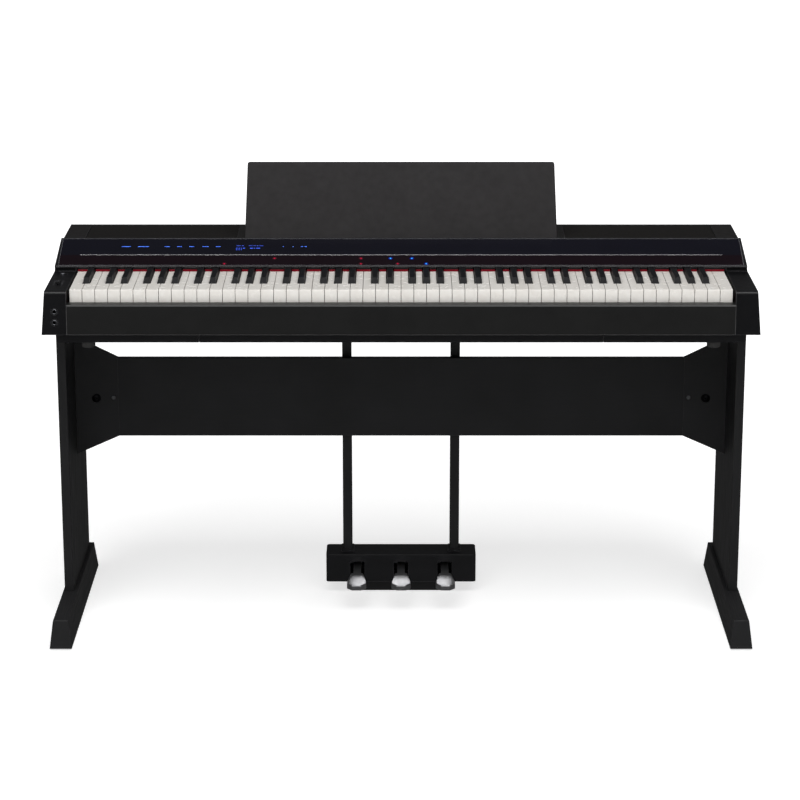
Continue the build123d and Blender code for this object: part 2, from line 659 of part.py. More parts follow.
def belly_tray(x0, x1):
    """Tray under the case between two X places, open upwards."""
    y0 = BELLY_FRONT
    y1 = BELLY_REAR
    wall = CASE_WALL
    tray = block(x0, x1, y0, y1, BELLY, BASE)
    long_edges = tray.edges().filter_by(Axis.X).group_by(Axis.Z)[0]
    tray = fillet(long_edges, BELLY_ROUND)
    return tray - block(x0 + wall, x1 - wall, y0 + wall, y1 - wall, BELLY + wall, BASE + 1)


def bottom_panel_centre():
    """Middle tray, with the standoffs of the main board."""
    half = BELLY_SEAM - BELLY_SEAM_GAP / 2
    tray = belly_tray(-half, half)
    for x in (-STANDOFF_X, STANDOFF_X):
        for y in main_board_rows():
            tray += pin_z(STANDOFF_RADIUS, BELLY + 2, BASE + KEYBED_LEVEL, x, y)
    return tray


def bottom_side_panels():
    """Two equal trays, with the holes of the stand's screws."""
    tray = belly_tray(BELLY_SEAM + BELLY_SEAM_GAP / 2, BELLY_HALF)
    for low_y, high_y in case_bracket_places():
        x = BELLY_HALF - BRACKET_FLANGE / 2
        tray -= screw_hole(x, (low_y + high_y) / 2, BELLY - 1, (0, 0, 1), CASE_WALL + 2)
    return group([tray, mirrored(tray)])


def case_feet():
    """Rubber feet under the case, for use without the stand."""
    feet = []
    for x in (-CASE_FOOT_X, CASE_FOOT_X):
        for y in (BELLY_FRONT + 18, BELLY_REAR - 30):
            pad = pin_z(CASE_FOOT_RADIUS, BELLY - CASE_FOOT_HEIGHT, BELLY, x, y)
            feet.append(fillet(pad.edges().group_by(Axis.Z)[0], 1.5))
    return group(feet)


def top_outline(y0):
    """Y and Z outline of the top's skin, with its round rear edge."""
    wall = CASE_WALL
    middle_y = REAR - REAR_ROUND
    middle_z = TOP - REAR_ROUND
    skirt = BASE + SKIRT_LEVEL
    diagonal = math.sqrt(0.5)
    outer = REAR_ROUND
    inner = REAR_ROUND - wall
    out_arc = (middle_y + outer * diagonal, middle_z + outer * diagonal)
    in_arc = (middle_y + inner * diagonal, middle_z + inner * diagonal)
    lines = Polyline((middle_y, TOP - wall), (y0, TOP - wall), (y0, TOP), (middle_y, TOP))
    lines += ThreePointArc((middle_y, TOP), out_arc, (REAR, middle_z))
    lines += Polyline((REAR, middle_z), (REAR, skirt), (REAR - wall, skirt), (REAR - wall, middle_z))
    lines += ThreePointArc((REAR - wall, middle_z), in_arc, (middle_y, TOP - wall))
    return make_face(lines)


def top_skin(x0, x1):
    """Top skin from x0 to x1."""
    return extrude(Plane.YZ.offset(x0) * top_outline(PANEL_WALL_Y), amount=x1 - x0)


def grille_limits():
    """X and Y limits of the right speaker grille."""
    return CENTRE_HALF, CAP_INNER, PANEL_WALL_Y + 2, REAR - REAR_ROUND - GRILLE_MARGIN


def rest_frame(offset=0.0):
    """Plane of the music rest: X across, local Y up along the plate."""
    tilt = math.radians(REST_TILT)
    origin = (0, FRONT + REST_SETBACK + offset * math.cos(tilt), TOP - offset * math.sin(tilt))
    return Plane(origin=origin, x_dir=(1, 0, 0), z_dir=(0, -math.cos(tilt), math.sin(tilt)))


def top_cover():
    """Top between the end caps, with the speaker baffles and the music rest's pocket."""
    half = CAP_INNER - CAP_SEAM
    cover = top_skin(-half, half)
    x0, x1, y0, y1 = grille_limits()
    under = TOP - CASE_WALL
    baffle = block(x0 - 6, half, y0 - 1, y1 + 6, under - BAFFLE_THICKNESS, under)
    speaker_y = (y0 + y1) / 2
    for side in (-1, 1):
        low, high = sorted((side * x0, side * x1))
        cover -= block(low, high, y0, y1, under, TOP + 1)
        cover += baffle if side > 0 else mirrored(baffle)
        cover -= pin_z(WOOFER_RADIUS - 6, TOP - 20, TOP + 1, side * WOOFER_X, speaker_y)
        cover -= pin_z(TWEETER_RADIUS - 3, TOP - 20, TOP + 1, side * TWEETER_X, speaker_y)
    half = REST_WIDTH / 2 + REST_CLEARANCE
    slot_y = FRONT + REST_SETBACK
    cover += block(-half - 4, half + 4, slot_y - 14, slot_y + 10, TOP - REST_TONGUE - 5, TOP - 1)
    thick = REST_THICKNESS + 2 * REST_CLEARANCE
    slot = Pos(0, 10 - REST_TONGUE / 2, 0) * Box(2 * half, REST_TONGUE + 20, thick)
    return cover - rest_frame().location * slot


def music_rest():
    """Plate that leans back out of its slot."""
    low = -REST_TONGUE + REST_CLEARANCE
    half = REST_WIDTH / 2
    top_half = REST_TOP_WIDTH / 2
    outline = Polyline((-half, low), (half, low), (half, 0), (top_half, REST_LENGTH),
                       (-top_half, REST_LENGTH), (-half, 0), close=True)
    face = make_face(outline)
    face = fillet(face.vertices().group_by(Axis.Y)[-1], REST_CORNER)
    plate = Pos(0, 0, -REST_THICKNESS / 2) * extrude(face, amount=REST_THICKNESS)
    plate = fillet(plate.edges().filter_by(Axis.X).group_by(Axis.Y)[-1], 1.2)
    return rest_frame().location * plate


def speaker_grilles():
    """Two cloth-covered grille plates, laid on the baffles."""
    x0, x1, y0, y1 = grille_limits()
    gap = GRILLE_GAP
    high = TOP - GRILLE_SINK
    plate = block(x0 + gap, x1 - CAP_SEAM, y0 + gap, y1 - gap, TOP - CASE_WALL, high)
    return group([plate, mirrored(plate)])


def end_caps():
    """Top skins over the two end blocks."""
    cap = top_skin(CAP_INNER, CASE_HALF + 1) - outside_draft()
    return group([cap, mirrored(cap)])


def rear_cover():
    """Rear wall with the openings of the sockets."""
    wall = CASE_WALL
    top = BASE + SKIRT_LEVEL
    outline = [(REAR, BASE), (REAR, top), (REAR - wall, top), (REAR - wall, BASE + wall),
               (BELLY_REAR - 5, BASE + wall), (BELLY_REAR - 5, BASE)]
    cover = along_x(outline, -BLOCK_INNER, BLOCK_INNER)
    for x, half, low, high in socket_openings():
        cover -= block(x - half, x + half, REAR - wall - 1, REAR + 1, BASE + low, BASE + high)
    for x in AUX_SOCKETS_X:
        cover -= pin_y(JACK_COLLAR + COLLAR_GAP, REAR - wall - 1, REAR + 1, x, BASE + SOCKET_LEVEL)
    return cover


def woofer():
    """Speaker under the right grille: flange, cone, basket and magnet."""
    x0, x1, y0, y1 = grille_limits()
    high = TOP - CASE_WALL - BAFFLE_THICKNESS
    r = WOOFER_RADIUS
    outline = [(0, high - 52), (0.6 * r, high - 52), (0.6 * r, high - 32), (0.7 * r, high - 28),
               (0.93 * r, high - 6), (r, high - 3), (r, high), (0.9 * r, high), (0.86 * r, high - 5),
               (0.3 * r, high - 24), (0.2 * r, high - 20), (0, high - 18)]
    face = make_face(Polyline(*outline, close=True))
    body = revolve(Plane.XZ * face, Axis.Z)
    return Pos(WOOFER_X, (y0 + y1) / 2, 0) * body


def tweeter():
    """Small speaker beside the right woofer."""
    x0, x1, y0, y1 = grille_limits()
    high = TOP - CASE_WALL - BAFFLE_THICKNESS
    r = TWEETER_RADIUS
    outline = [(0, high - 20), (0.7 * r, high - 20), (0.7 * r, high - 6), (r, high - 3), (r, high),
               (0.85 * r, high), (0.5 * r, high - 4), (0.3 * r, high - 2), (0, high - 1)]
    face = make_face(Polyline(*outline, close=True))
    body = revolve(Plane.XZ * face, Axis.Z)
    return Pos(TWEETER_X, (y0 + y1) / 2, 0) * body


def socket_openings():
    """X, half width, low and high of each rectangular opening in the rear cover."""
    level = SOCKET_LEVEL
    return [(SOCKETS_X["power"], 6.5, level - 6, level + 6), (SOCKETS_X["data"], 6.5, level - 6, level + 6),
            (SOCKETS_X["pedal"], 8.5, level - 8, level + 8)]


def rear_sockets():
    """Socket bodies behind the rear cover, each filling its opening."""
    gap = SOCKET_GAP
    z = BASE + SOCKET_LEVEL
    inside = REAR - CASE_WALL - SOCKET_DEPTH
    bodies = []
    for x, half, low, high in socket_openings():
        reach = half - gap
        body = block(x - reach, x + reach, inside, REAR - 0.5, BASE + low + gap, BASE + high - gap)
        bodies.append(body)
    power, data, pedal = bodies
    inlet_x = SOCKETS_X["power"]
    power = power - pin_y(2.8, REAR - 10, REAR, inlet_x, z) + pin_y(1.0, REAR - 11, REAR - 2, inlet_x, z)
    data_x = SOCKETS_X["data"]
    data = data - block(data_x - 4.2, data_x + 4.2, REAR - 10, REAR, z - 3.9, z + 3.9)
    data += block(data_x - 2.8, data_x + 2.8, REAR - 11, REAR - 2, z - 1.6, z + 1.6)
    pedal_x = SOCKETS_X["pedal"]
    pedal -= pin_y(6.8, REAR - 9, REAR, pedal_x, z) - pin_y(5.4, REAR - 10, REAR + 1, pedal_x, z)
    for x in AUX_SOCKETS_X:
        body = block(x - 7.5, x + 7.5, inside - 10, REAR - CASE_WALL - 1, z - 6.5, z + 6.5)
        collar = pin_y(JACK_COLLAR, REAR - CASE_WALL - 2, REAR + 1.2, x, z)
        bodies.append(body + collar - pin_y(JACK_BORE, inside - 8, REAR + 2, x, z))
    return group([power, data, pedal] + bodies[3:])


# ------------------------------------------------------------------ control panel
def black_key_gaps(extra, y0, y1, high):
    """Cutters that let the black keys through, extra mm wider on each side."""
    half = BLACK_WIDTH / 2 + extra
    return [block(x - half, x + half, y0, y1, KEY_Z - 1, high) for x in black_centres()]


def panel_frame():
    """Bezel that carries the panel, with the skirt that hangs between the black keys."""
    y2, z2 = panel_point(2.0)
    y3, z3 = panel_point(2.0, -PANEL_SHEET)
    y4, z4 = panel_point(PANEL_LENGTH - 2, -PANEL_SHEET)
    y5, z5 = panel_point(PANEL_LENGTH - 2)
    wall_y = PANEL_WALL_Y
    inner_y = PANEL_INNER_Y
    front = PANEL_Y0 - 1.5
    under = TOP - CASE_WALL
    outline = [(front, LIP_UNDER), (front, PANEL_Z0 - 0.7), (front + 1.2, PANEL_Z0 + 0.5), (y2, z2),
               (y3, z3), (y4, z4), (y5, z5), (wall_y - 1.5, PANEL_Z1 + 0.3), (wall_y, PANEL_Z1 - 1),
               (wall_y, under), (inner_y, under), (inner_y, panel_under(inner_y)),
               (PANEL_TURN_Y, LIP_UNDER)]
    body = along_x(outline, -CASE_HALF, CASE_HALF)
    rim = [panel_point(0, -PANEL_SHEET), panel_point(0, 0.3), panel_point(PANEL_LENGTH, 0.3),
           panel_point(PANEL_LENGTH, -PANEL_SHEET)]
    draft = outside_draft()
    inner = CASE_HALF - SIDE_DRAFT * PANEL_REAR_Z - PANEL_SIDE_RIM
    side = along_x(rim, inner, CASE_HALF)
    body += side
    body += mirrored(side)
    half = BLOCK_INNER - 0.5
    body += block(-half, half, SKIRT_FRONT, SKIRT_REAR, KEY_Z + FELT_OVER_KEYS, LIP_UNDER + 1)
    body -= black_key_gaps(BLACK_CLEARANCE, SKIRT_FRONT - 1, SKIRT_REAR + 1, LIP_UNDER)
    body -= draft
    return body - mirrored(draft)


def sheet_half():
    """Half the width of the glossy panel."""
    return CASE_HALF - SIDE_DRAFT * PANEL_REAR_Z - PANEL_SIDE_RIM - 0.1


def lamp_places():
    """X and place up the panel of each lamp."""
    upper = [(x, LAMP_UPPER) for x in LAMPS_UPPER_X]
    return upper + [(x, LAMP_LOWER) for x in LAMPS_LOWER_X]


def on_panel(x, up, out=0.0):
    """Location on the panel's face, local Z along its normal."""
    y, z = panel_point(up, out)
    normal = (0, -math.sin(PANEL_ANGLE), math.cos(PANEL_ANGLE))
    return Plane(origin=(x, y, z), x_dir=(1, 0, 0), z_dir=normal).location


def control_panel():
    """Glossy sheet with a groove for the trim line and holes for the lamps."""
    length = PANEL_LENGTH - 4.2
    sheet = on_panel(0, PANEL_LENGTH / 2, -PANEL_SHEET / 2) * Box(2 * sheet_half(), length, PANEL_SHEET)
    groove = Box(2 * trim_half(), TRIM_WIDTH, 2 * TRIM_DEPTH)
    sheet -= on_panel(0, TRIM_PLACE) * groove
    for x, up in lamp_places():
        sheet -= on_panel(x, up) * Cylinder(LAMP_RADIUS + 0.05, 3 * PANEL_SHEET)
    return sheet


def trim_half():
    """Half the length of the trim line."""
    return KEYBOARD_HALF - 0.5


def panel_trim_line():
    """Thin metal strip in the panel's groove."""
    gap = 0.05
    thick = TRIM_DEPTH + 0.1
    strip = Box(2 * (trim_half() - gap), TRIM_WIDTH - 2 * gap, thick)
    return on_panel(0, TRIM_PLACE, thick / 2 - TRIM_DEPTH) * strip


def panel_lamps():
    """Round light guides, flush with the panel."""
    lamps = []
    for x, up in lamp_places():
        lamps.append(on_panel(x, up, 0.1 - PANEL_SHEET / 2) * Cylinder(LAMP_RADIUS, PANEL_SHEET - 0.2))
    return group(lamps)


def key_felt_strip():
    """Felt on the skirt's lower edge, cut away at each black key."""
    low = KEY_Z + FELT_OVER_KEYS
    y0 = SKIRT_FRONT - FELT_THICKNESS
    half = KEYBOARD_HALF
    strip = block(-half, half, y0, SKIRT_FRONT, low, low + FELT_HEIGHT)
    strip -= black_key_gaps(BLACK_CLEARANCE, y0 - 1, SKIRT_FRONT + 1, low + FELT_HEIGHT + 1)
    return group([strip])


# ------------------------------------------------------------------ keys
def degree(index):
    """Scale degree of a white key, C = 0."""
    return (index + FIRST_DEGREE) % 7


def black_after(index):
    """Whether a black key follows this white key."""
    return degree(index) in BLACK_SHIFT and index < WHITE_KEYS - 1


def black_x(index):
    """Middle of the black key that follows a white key."""
    return (index + 1) * KEY_PITCH - KEYBOARD_HALF + BLACK_SHIFT[degree(index)]


def black_centres():
    """Middles of all black keys."""
    return [black_x(index) for index in range(WHITE_KEYS) if black_after(index)]


def bearing(low_z):
    """Cutters for a key's tail: the bore and the space round the pivot rail."""
    reach = KEY_TAIL * 2
    width = KEY_PITCH * 2
    bore = rod(KEY_ROD_RADIUS + RUNNING_CLEARANCE, -width, width, PIVOT_Y, PIVOT_Z)
    notch = block(-width, width, PIVOT_Y - KEY_TAIL, PIVOT_Y + reach, low_z - 1, PIVOT_Z - 0.8)
    return [bore, notch]


def white_key(index):
    """White key: head, tail between its black neighbours, hollow below."""
    left = index * KEY_PITCH - KEYBOARD_HALF
    middle = left + KEY_PITCH / 2
    half = (KEY_PITCH - KEY_GAP) / 2
    side = BLACK_WIDTH / 2 + BLACK_CLEARANCE
    tail_left = -half
    tail_right = half
    if index > 0 and black_after(index - 1):
        tail_left = black_x(index - 1) + side - middle
    if black_after(index):
        tail_right = black_x(index) - side - middle
    head_rear = BLACK_FRONT - BLACK_CLEARANCE
    outline = [(-half, KEY_FRONT), (half, KEY_FRONT), (half, head_rear), (tail_right, head_rear),
               (tail_right, KEY_REAR), (tail_left, KEY_REAR), (tail_left, head_rear), (-half, head_rear)]
    key = along_z([point for i, point in enumerate(outline) if point != outline[i - 1]], KEY_LOW_Z, KEY_Z)
    key += block(-half, half, KEY_FRONT, KEY_FRONT + KEY_WALL, KEY_Z - KEY_LIP_HEIGHT, KEY_LOW_Z)
    key = key.clean()
    key = fillet(key.edges().filter_by(Axis.X).group_by(Axis.Y)[0].sort_by(Axis.Z)[-1], 1.0)
    roof = KEY_Z - KEY_TOP_WALL
    wall = KEY_WALL
    key -= block(-half + wall, half - wall, KEY_FRONT + wall, head_rear - wall, KEY_LOW_Z - 1, roof)
    solid_tail = PIVOT_Y - KEY_TAIL - KEY_TOP_WALL
    key -= block(tail_left + wall, tail_right - wall, head_rear - 2 * wall, solid_tail, KEY_LOW_Z - 1, roof)
    key -= bearing(KEY_LOW_Z)
    return Pos(middle, 0, 0) * key


def black_key(index):
    """Black key: hollow body with a raised cap that slopes on three sides."""
    half = BLACK_WIDTH / 2
    body = block(-half, half, BLACK_FRONT, KEY_REAR, KEY_LOW_Z, KEY_Z)
    wall = KEY_WALL
    cap_rear = SKIRT_REAR + 20
    high = KEY_Z + BLACK_RISE
    side = [(BLACK_FRONT, KEY_Z), (BLACK_FRONT + BLACK_FRONT_SLANT, high),
            (cap_rear, KEY_Z + BLACK_REAR_RISE), (cap_rear, KEY_Z)]
    cap = along_x(side, -half, half)
    lean = (BLACK_WIDTH - BLACK_TOP_WIDTH) / 2
    for turn in (-1, 1):
        wedge = [(turn * half, KEY_Z), (turn * (half - lean), high + 0.1), (turn * (half + 5), high + 0.1),
                 (turn * (half + 5), KEY_Z)]
        cap -= along_y(wedge, BLACK_FRONT - 1, cap_rear + 1)
    cap = fillet(cap.edges().group_by(Axis.Z)[-1].filter_by(Axis.X), 1.2)
    key = body + cap
    solid_tail = PIVOT_Y - KEY_TAIL - KEY_TOP_WALL
    key -= block(-half + wall, half - wall, BLACK_FRONT + wall, solid_tail, KEY_LOW_Z - 1, KEY_Z - wall)
    key -= bearing(KEY_LOW_Z)
    return Pos(black_x(index), 0, 0) * key


def all_keys():
    """The middle octave as single keys, and the rest as one white and one black group."""
    nodes = {}
    white_rest = []
    black_rest = []
    for index in range(WHITE_KEYS):
        step = index - MIDDLE_C
        middle = 0 <= step < 7
        if middle:
            nodes["key_" + OCTAVE[step] + "4"] = white_key(index)
        else:
            white_rest.append(white_key(index))
        if not black_after(index):
            continue
        if middle:
            nodes["key_" + OCTAVE[step] + "_sharp4"] = black_key(index)
        else:
            black_rest.append(black_key(index))
    nodes["other_white_keys"] = group(white_rest)
    nodes["other_black_keys"] = group(black_rest)
    return nodes


# ------------------------------------------------------------------ inside the case
def pressed_under(y):
    """Height of a fully pressed key's underside at y."""
    return KEY_LOW_Z - (PIVOT_Y - y) * DIP


def key_frame():
    """Keybed: floor, rails under the keys, guide pins and the pivot rail."""
    half = BLOCK_INNER - 3
    floor = BASE + KEYBED_LEVEL
    frame = block(-half, half, KEY_FRONT + 10, KEY_REAR + 10, floor, floor + KEYBED_THICKNESS)
    for low_y, high_y in (FRONT_RAIL, BLACK_RAIL):
        frame += block(-half, half, low_y, high_y, floor + 2, pressed_under(low_y) - STOP_GAP - STOP_FELT)
    low_y, high_y = BOARD_ROW
    for y in (low_y, high_y - 6):
        frame += block(-half, half, y, y + 6, floor + 2, sensor_board_z())
    frame += block(-half, half, PIVOT_Y - 1.5, PIVOT_Y + 1.5, floor + 2, PIVOT_Z - KEY_ROD_RADIUS)
    thin = KEYBED_RIB / 2
    for share in (-0.95, -0.5, 0, 0.5, 0.95):
        x = share * KEYBOARD_HALF
        frame += block(x - thin, x + thin, KEY_FRONT + 10, KEY_REAR + 10, BELLY + CASE_WALL, floor + 1)
    frame += guide_pins()
    return frame


def white_centres():
    """Middles of all white keys."""
    return [(index + 0.5) * KEY_PITCH - KEYBOARD_HALF for index in range(WHITE_KEYS)]


def guide_pin(x, rail_y, size):
    """Pin on a rail, up into the hollow of the key above it."""
    wide, deep = size
    top = pressed_under(rail_y) + KEY_BODY_HEIGHT - KEY_TOP_WALL - 1
    low = BASE + GUIDE_PIN_LOW
    return block(x - wide / 2, x + wide / 2, rail_y - deep / 2, rail_y + deep / 2, low, top)


def guide_pins():
    """One pin for each key."""
    pins = [guide_pin(x, sum(FRONT_RAIL) / 2, WHITE_PIN) for x in white_centres()]
    return pins + [guide_pin(x, sum(BLACK_RAIL) / 2, BLACK_PIN) for x in black_centres()]


def key_stop_felt():
    """Felt strips on the two rails, where pressed keys land."""
    strips = []
    for low_y, high_y in (FRONT_RAIL, BLACK_RAIL):
        high = pressed_under(low_y) - STOP_GAP
        strips.append(block(-KEYBOARD_HALF, KEYBOARD_HALF, low_y, high_y, high - STOP_FELT, high))
    return group([strip - guide_pins() for strip in strips])


def sensor_board_z():
    """Underside of the sensor board."""
    return pressed_under(sum(BOARD_ROW) / 2) - 7


def sensor_board():
    """Board under the keys with a rubber dome for each key."""
    low_y, high_y = BOARD_ROW
    low = sensor_board_z()
    half = KEYBOARD_HALF - 2
    board = block(-half, half, low_y, high_y, low, low + CIRCUIT_SHEET)
    row = sum(BOARD_ROW) / 2
    top = pressed_under(row - 4) - STOP_GAP
    domes = [pin_z(DOME_RADIUS, low + 1, top, x, row) for x in white_centres()]
    domes += [pin_z(DOME_RADIUS, low + 1, top, x, row + 3 * DOME_RADIUS) for x in black_centres()]
    return board + domes


def main_board_rows():
    """Y of the two rows of standoffs under the main board."""
    reach = MAIN_BOARD_GAP + STANDOFF_INSET
    return KEY_REAR + reach, BELLY_REAR - reach


def main_board():
    """Circuit board on the middle tray's standoffs."""
    low_y, high_y = main_board_rows()
    low = BASE + KEYBED_LEVEL
    half = MAIN_BOARD_WIDTH / 2
    board = block(-half, half, low_y - STANDOFF_INSET, high_y + STANDOFF_INSET, low, low + CIRCUIT_SHEET)
    middle = (low_y + high_y) / 2
    for x, off, wide, deep, tall in CHIPS:
        y = middle + off
        board += block(x - wide / 2, x + wide / 2, y - deep / 2, y + deep / 2, low + 1, low + tall)
    for x in CAPACITORS_X:
        y = high_y - CAPACITOR_RADIUS - 4
        board += pin_z(CAPACITOR_RADIUS, low + 1, low + CAPACITOR_HEIGHT, x, y)
    return board


def key_pivot_rod():
    """Steel rod that all keys turn on."""
    half = BLOCK_INNER - 3
    return rod(KEY_ROD_RADIUS, -half, half, PIVOT_Y, PIVOT_Z)


# ------------------------------------------------------------------ pedal unit
def pedal_places():
    """X of the three pedals."""
    return {"left": -PEDAL_PITCH, "middle": 0.0, "right": PEDAL_PITCH}


def pedal_box():
    """Housing of the pedals: a shell open below, slotted in front, with collars for the posts."""
    half = PEDAL_BOX_WIDTH / 2
    y0 = PEDAL_BOX_FRONT_Y
    y1 = PEDAL_BOX_REAR
    low = PEDAL_BASE_HEIGHT
    high = PEDAL_BOX_TOP
    box = block(-half, half, y0, y1, low, high)
    box = fillet(box.edges().filter_by(Axis.Z), PEDAL_BOX_ROUND)
    box = fillet(box.edges().group_by(Axis.Z)[-1], 2.0)
    wall = CASE_WALL
    box -= block(-half + wall, half - wall, y0 + wall, y1 - wall, low - 1, high - wall)
    slot = PEDAL_SLOT_WIDTH / 2
    for x in pedal_places().values():
        box -= block(x - slot, x + slot, y0 - 1, y0 + 2 * wall, low - 1, low + PEDAL_SLOT_HEIGHT)
    for x in (-POST_X, POST_X):
        wide = POST_WIDTH / 2 + COLLAR_MARGIN
        y_low = POST_FRONT_Y - COLLAR_MARGIN
        y_high = POST_FRONT_Y + POST_DEPTH + COLLAR_MARGIN
        collar = block(x - wide, x + wide, y_low, y_high, high - 1, high + COLLAR_HEIGHT)
        collar = fillet(collar.edges().group_by(Axis.Z)[-1], 1.0)
        hole = POST_WIDTH / 2 + HOLE_CLEARANCE
        hole_front = POST_FRONT_Y - HOLE_CLEARANCE
        hole_rear = POST_FRONT_Y + POST_DEPTH + HOLE_CLEARANCE
        box += collar
        box -= block(x - hole, x + hole, hole_front, hole_rear, high - 10, high + 10)
    return box


def pedal_base():
    """Floor plate with the block that stands on the floor and the lugs of the pivot rod."""
    half = PEDAL_BOX_WIDTH / 2 - CASE_WALL - 0.3
    y0 = PEDAL_BOX_FRONT_Y + CASE_WALL + 0.3
    y1 = PEDAL_BOX_REAR - CASE_WALL - 0.3
    low = PEDAL_BASE_HEIGHT
    plate = block(-half, half, y0, y1, low, low + 3)
    plate += block(-PEDAL_BASE_WIDTH / 2, PEDAL_BASE_WIDTH / 2, y0 + 14, y1, 0, low)
    for x in lug_places():
        plate += block(x - 3, x + 3, PEDAL_ROD_Y - 8, PEDAL_ROD_Y + 8, low, PEDAL_ROD_Z + 7)
    return plate - rod(PEDAL_ROD_RADIUS + RUNNING_CLEARANCE, -half, half, PEDAL_ROD_Y, PEDAL_ROD_Z)


def lug_places():
    """X of the lugs, one on each side of every pedal."""
    return [(step - 1.5) * PEDAL_PITCH for step in range(4)]


def pedal_pivot_rod():
    """Rod through the lugs and the three pedals."""
    half = lug_places()[-1] + 6
    return rod(PEDAL_ROD_RADIUS, -half, half, PEDAL_ROD_Y, PEDAL_ROD_Z)


def pedal_springs():
    """Coil round the rod beside each pedal's hub, with a leg down to the base plate."""
    springs = []
    wire = 0.8
    coil_radius = PEDAL_ROD_RADIUS + 1.6
    for x in pedal_places().values():
        start = x + PEDAL_ARM_WIDTH / 2 + 1.5
        path = Helix(pitch=2.0, height=10.0, radius=coil_radius)
        ring = Plane(origin=path @ 0, z_dir=path % 0) * Circle(wire)
        coil = sweep(ring, path=path)
        turned = Pos(start, PEDAL_ROD_Y, PEDAL_ROD_Z) * Rot(0, 90, 0) * coil
        springs.append(turned)
    return group(springs)


def pedal(x):
    """Pedal: hub on the rod, arm through the slot, flat tread with a cut-off nose."""
    hub = rod(PEDAL_HUB_RADIUS, x - PEDAL_ARM_WIDTH / 2, x + PEDAL_ARM_WIDTH / 2, PEDAL_ROD_Y, PEDAL_ROD_Z)
    rear = TREAD_FRONT_Y + TREAD_LENGTH
    half = PEDAL_ARM_WIDTH / 2
    arm_top = TREAD_TOP_Z - 1
    arm = block(x - half, x + half, rear - 12, PEDAL_ROD_Y, arm_top - PEDAL_ARM_HEIGHT, arm_top)
    wide = TREAD_WIDTH / 2
    slim = TREAD_REAR_WIDTH / 2
    nose = TREAD_NOSE
    y0 = TREAD_FRONT_Y
    waist = y0 + 2.4 * nose
    outline = [(x - wide + nose, y0), (x + wide - nose, y0), (x + wide, y0 + nose), (x + wide, waist),
               (x + slim, rear), (x - slim, rear), (x - wide, waist), (x - wide, y0 + nose)]
    tread = along_z(outline, TREAD_TOP_Z - TREAD_THICKNESS, TREAD_TOP_Z)
    tread = fillet(tread.edges().filter_by(Axis.Z), 3.0)
    tread = fillet(tread.edges().group_by(Axis.Z)[-1], 2.2)
    tread = fillet(tread.edges().group_by(Axis.Z)[0], 1.5)
    bore = rod(PEDAL_ROD_RADIUS + RUNNING_CLEARANCE, x - 20, x + 20, PEDAL_ROD_Y, PEDAL_ROD_Z)
    return hub + arm + tread - bore


def pedal_posts():
    """Two posts from the pedal box up to the case."""
    posts = []
    for x in (-POST_X, POST_X):
        half = POST_WIDTH / 2
        y0 = POST_FRONT_Y
        y1 = POST_FRONT_Y + POST_DEPTH
        post = block(x - half, x + half, y0, y1, PEDAL_BOX_TOP - CASE_WALL - 4, BELLY)
        post = fillet(post.edges().filter_by(Axis.Z), 1.5)
        post += block(x - half - 10, x + half + 10, y0, y1, BELLY - 3, BELLY)
        posts.append(post)
    return group(posts)


# ------------------------------------------------------------------ all nodes
def nodes():
    """Every node of the model by name."""
    parts = {
        "left_leg": mirrored(leg()),
        "right_leg": leg(),
        "left_foot": mirrored(foot()),
        "right_foot": foot(),
        "foot_glides": foot_glides(),
        "back_board": back_board(),
        "left_wing": mirrored(wing()),
        "right_wing": wing(),
        "stand_brackets": stand_brackets(),
        "stand_bolts": stand_bolts(),
        "small_screws": small_screws(),
        "left_end_block": left_end_block(),
        "right_end_block": right_end_block(),
        "key_slip": key_slip(),
        "bottom_panel_centre": bottom_panel_centre(),
        "bottom_side_panels": bottom_side_panels(),
        "case_feet": case_feet(),
        "top_cover": top_cover(),
        "end_caps": end_caps(),
        "speaker_grilles": speaker_grilles(),
        "rear_cover": rear_cover(),
        "rear_sockets": rear_sockets(),
        "headphone_jacks": headphone_jacks(),
        "volume_slider": volume_slider(),
        "power_button": power_button(),
        "panel_frame": panel_frame(),
        "control_panel": control_panel(),
        "panel_trim_line": panel_trim_line(),
        "panel_lamps": panel_lamps(),
        "key_felt_strip": key_felt_strip(),
        "key_frame": key_frame(),
        "key_pivot_rod": key_pivot_rod(),
        "key_stop_felt": key_stop_felt(),
        "sensor_board": sensor_board(),
        "main_board": main_board(),
        "woofers": group([woofer(), mirrored(woofer())]),
        "tweeters": group([tweeter(), mirrored(tweeter())]),
        "music_rest": music_rest(),
        "pedal_box": pedal_box(),
        "pedal_base": pedal_base(),
        "pedal_posts": pedal_posts(),
        "pedal_pivot_rod": pedal_pivot_rod(),
        "pedal_springs": pedal_springs(),
    }
    for name, x in pedal_places().items():
        parts[name + "_pedal"] = pedal(x)
    parts.update(all_keys())
    return parts


os.makedirs("parts", exist_ok=True)
for node_name, node_shape in nodes().items():
    export_step(node_shape, "parts/" + node_name + ".step")
    print(node_name, len(node_shape.solids()))
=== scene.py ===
# %% [markdown]
# # A digital piano on its stand
# The instrument is a long slab case with 88 keys, on two side boards joined by a back board, with three
# pedals below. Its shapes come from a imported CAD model, which is the fixed frame of this lesson. What is
# left is what the eye reads as real: the foil on the boards, the moulded texture of the case, the smoked
# sheet with its lit markings, the gloss of the keys, and the light.

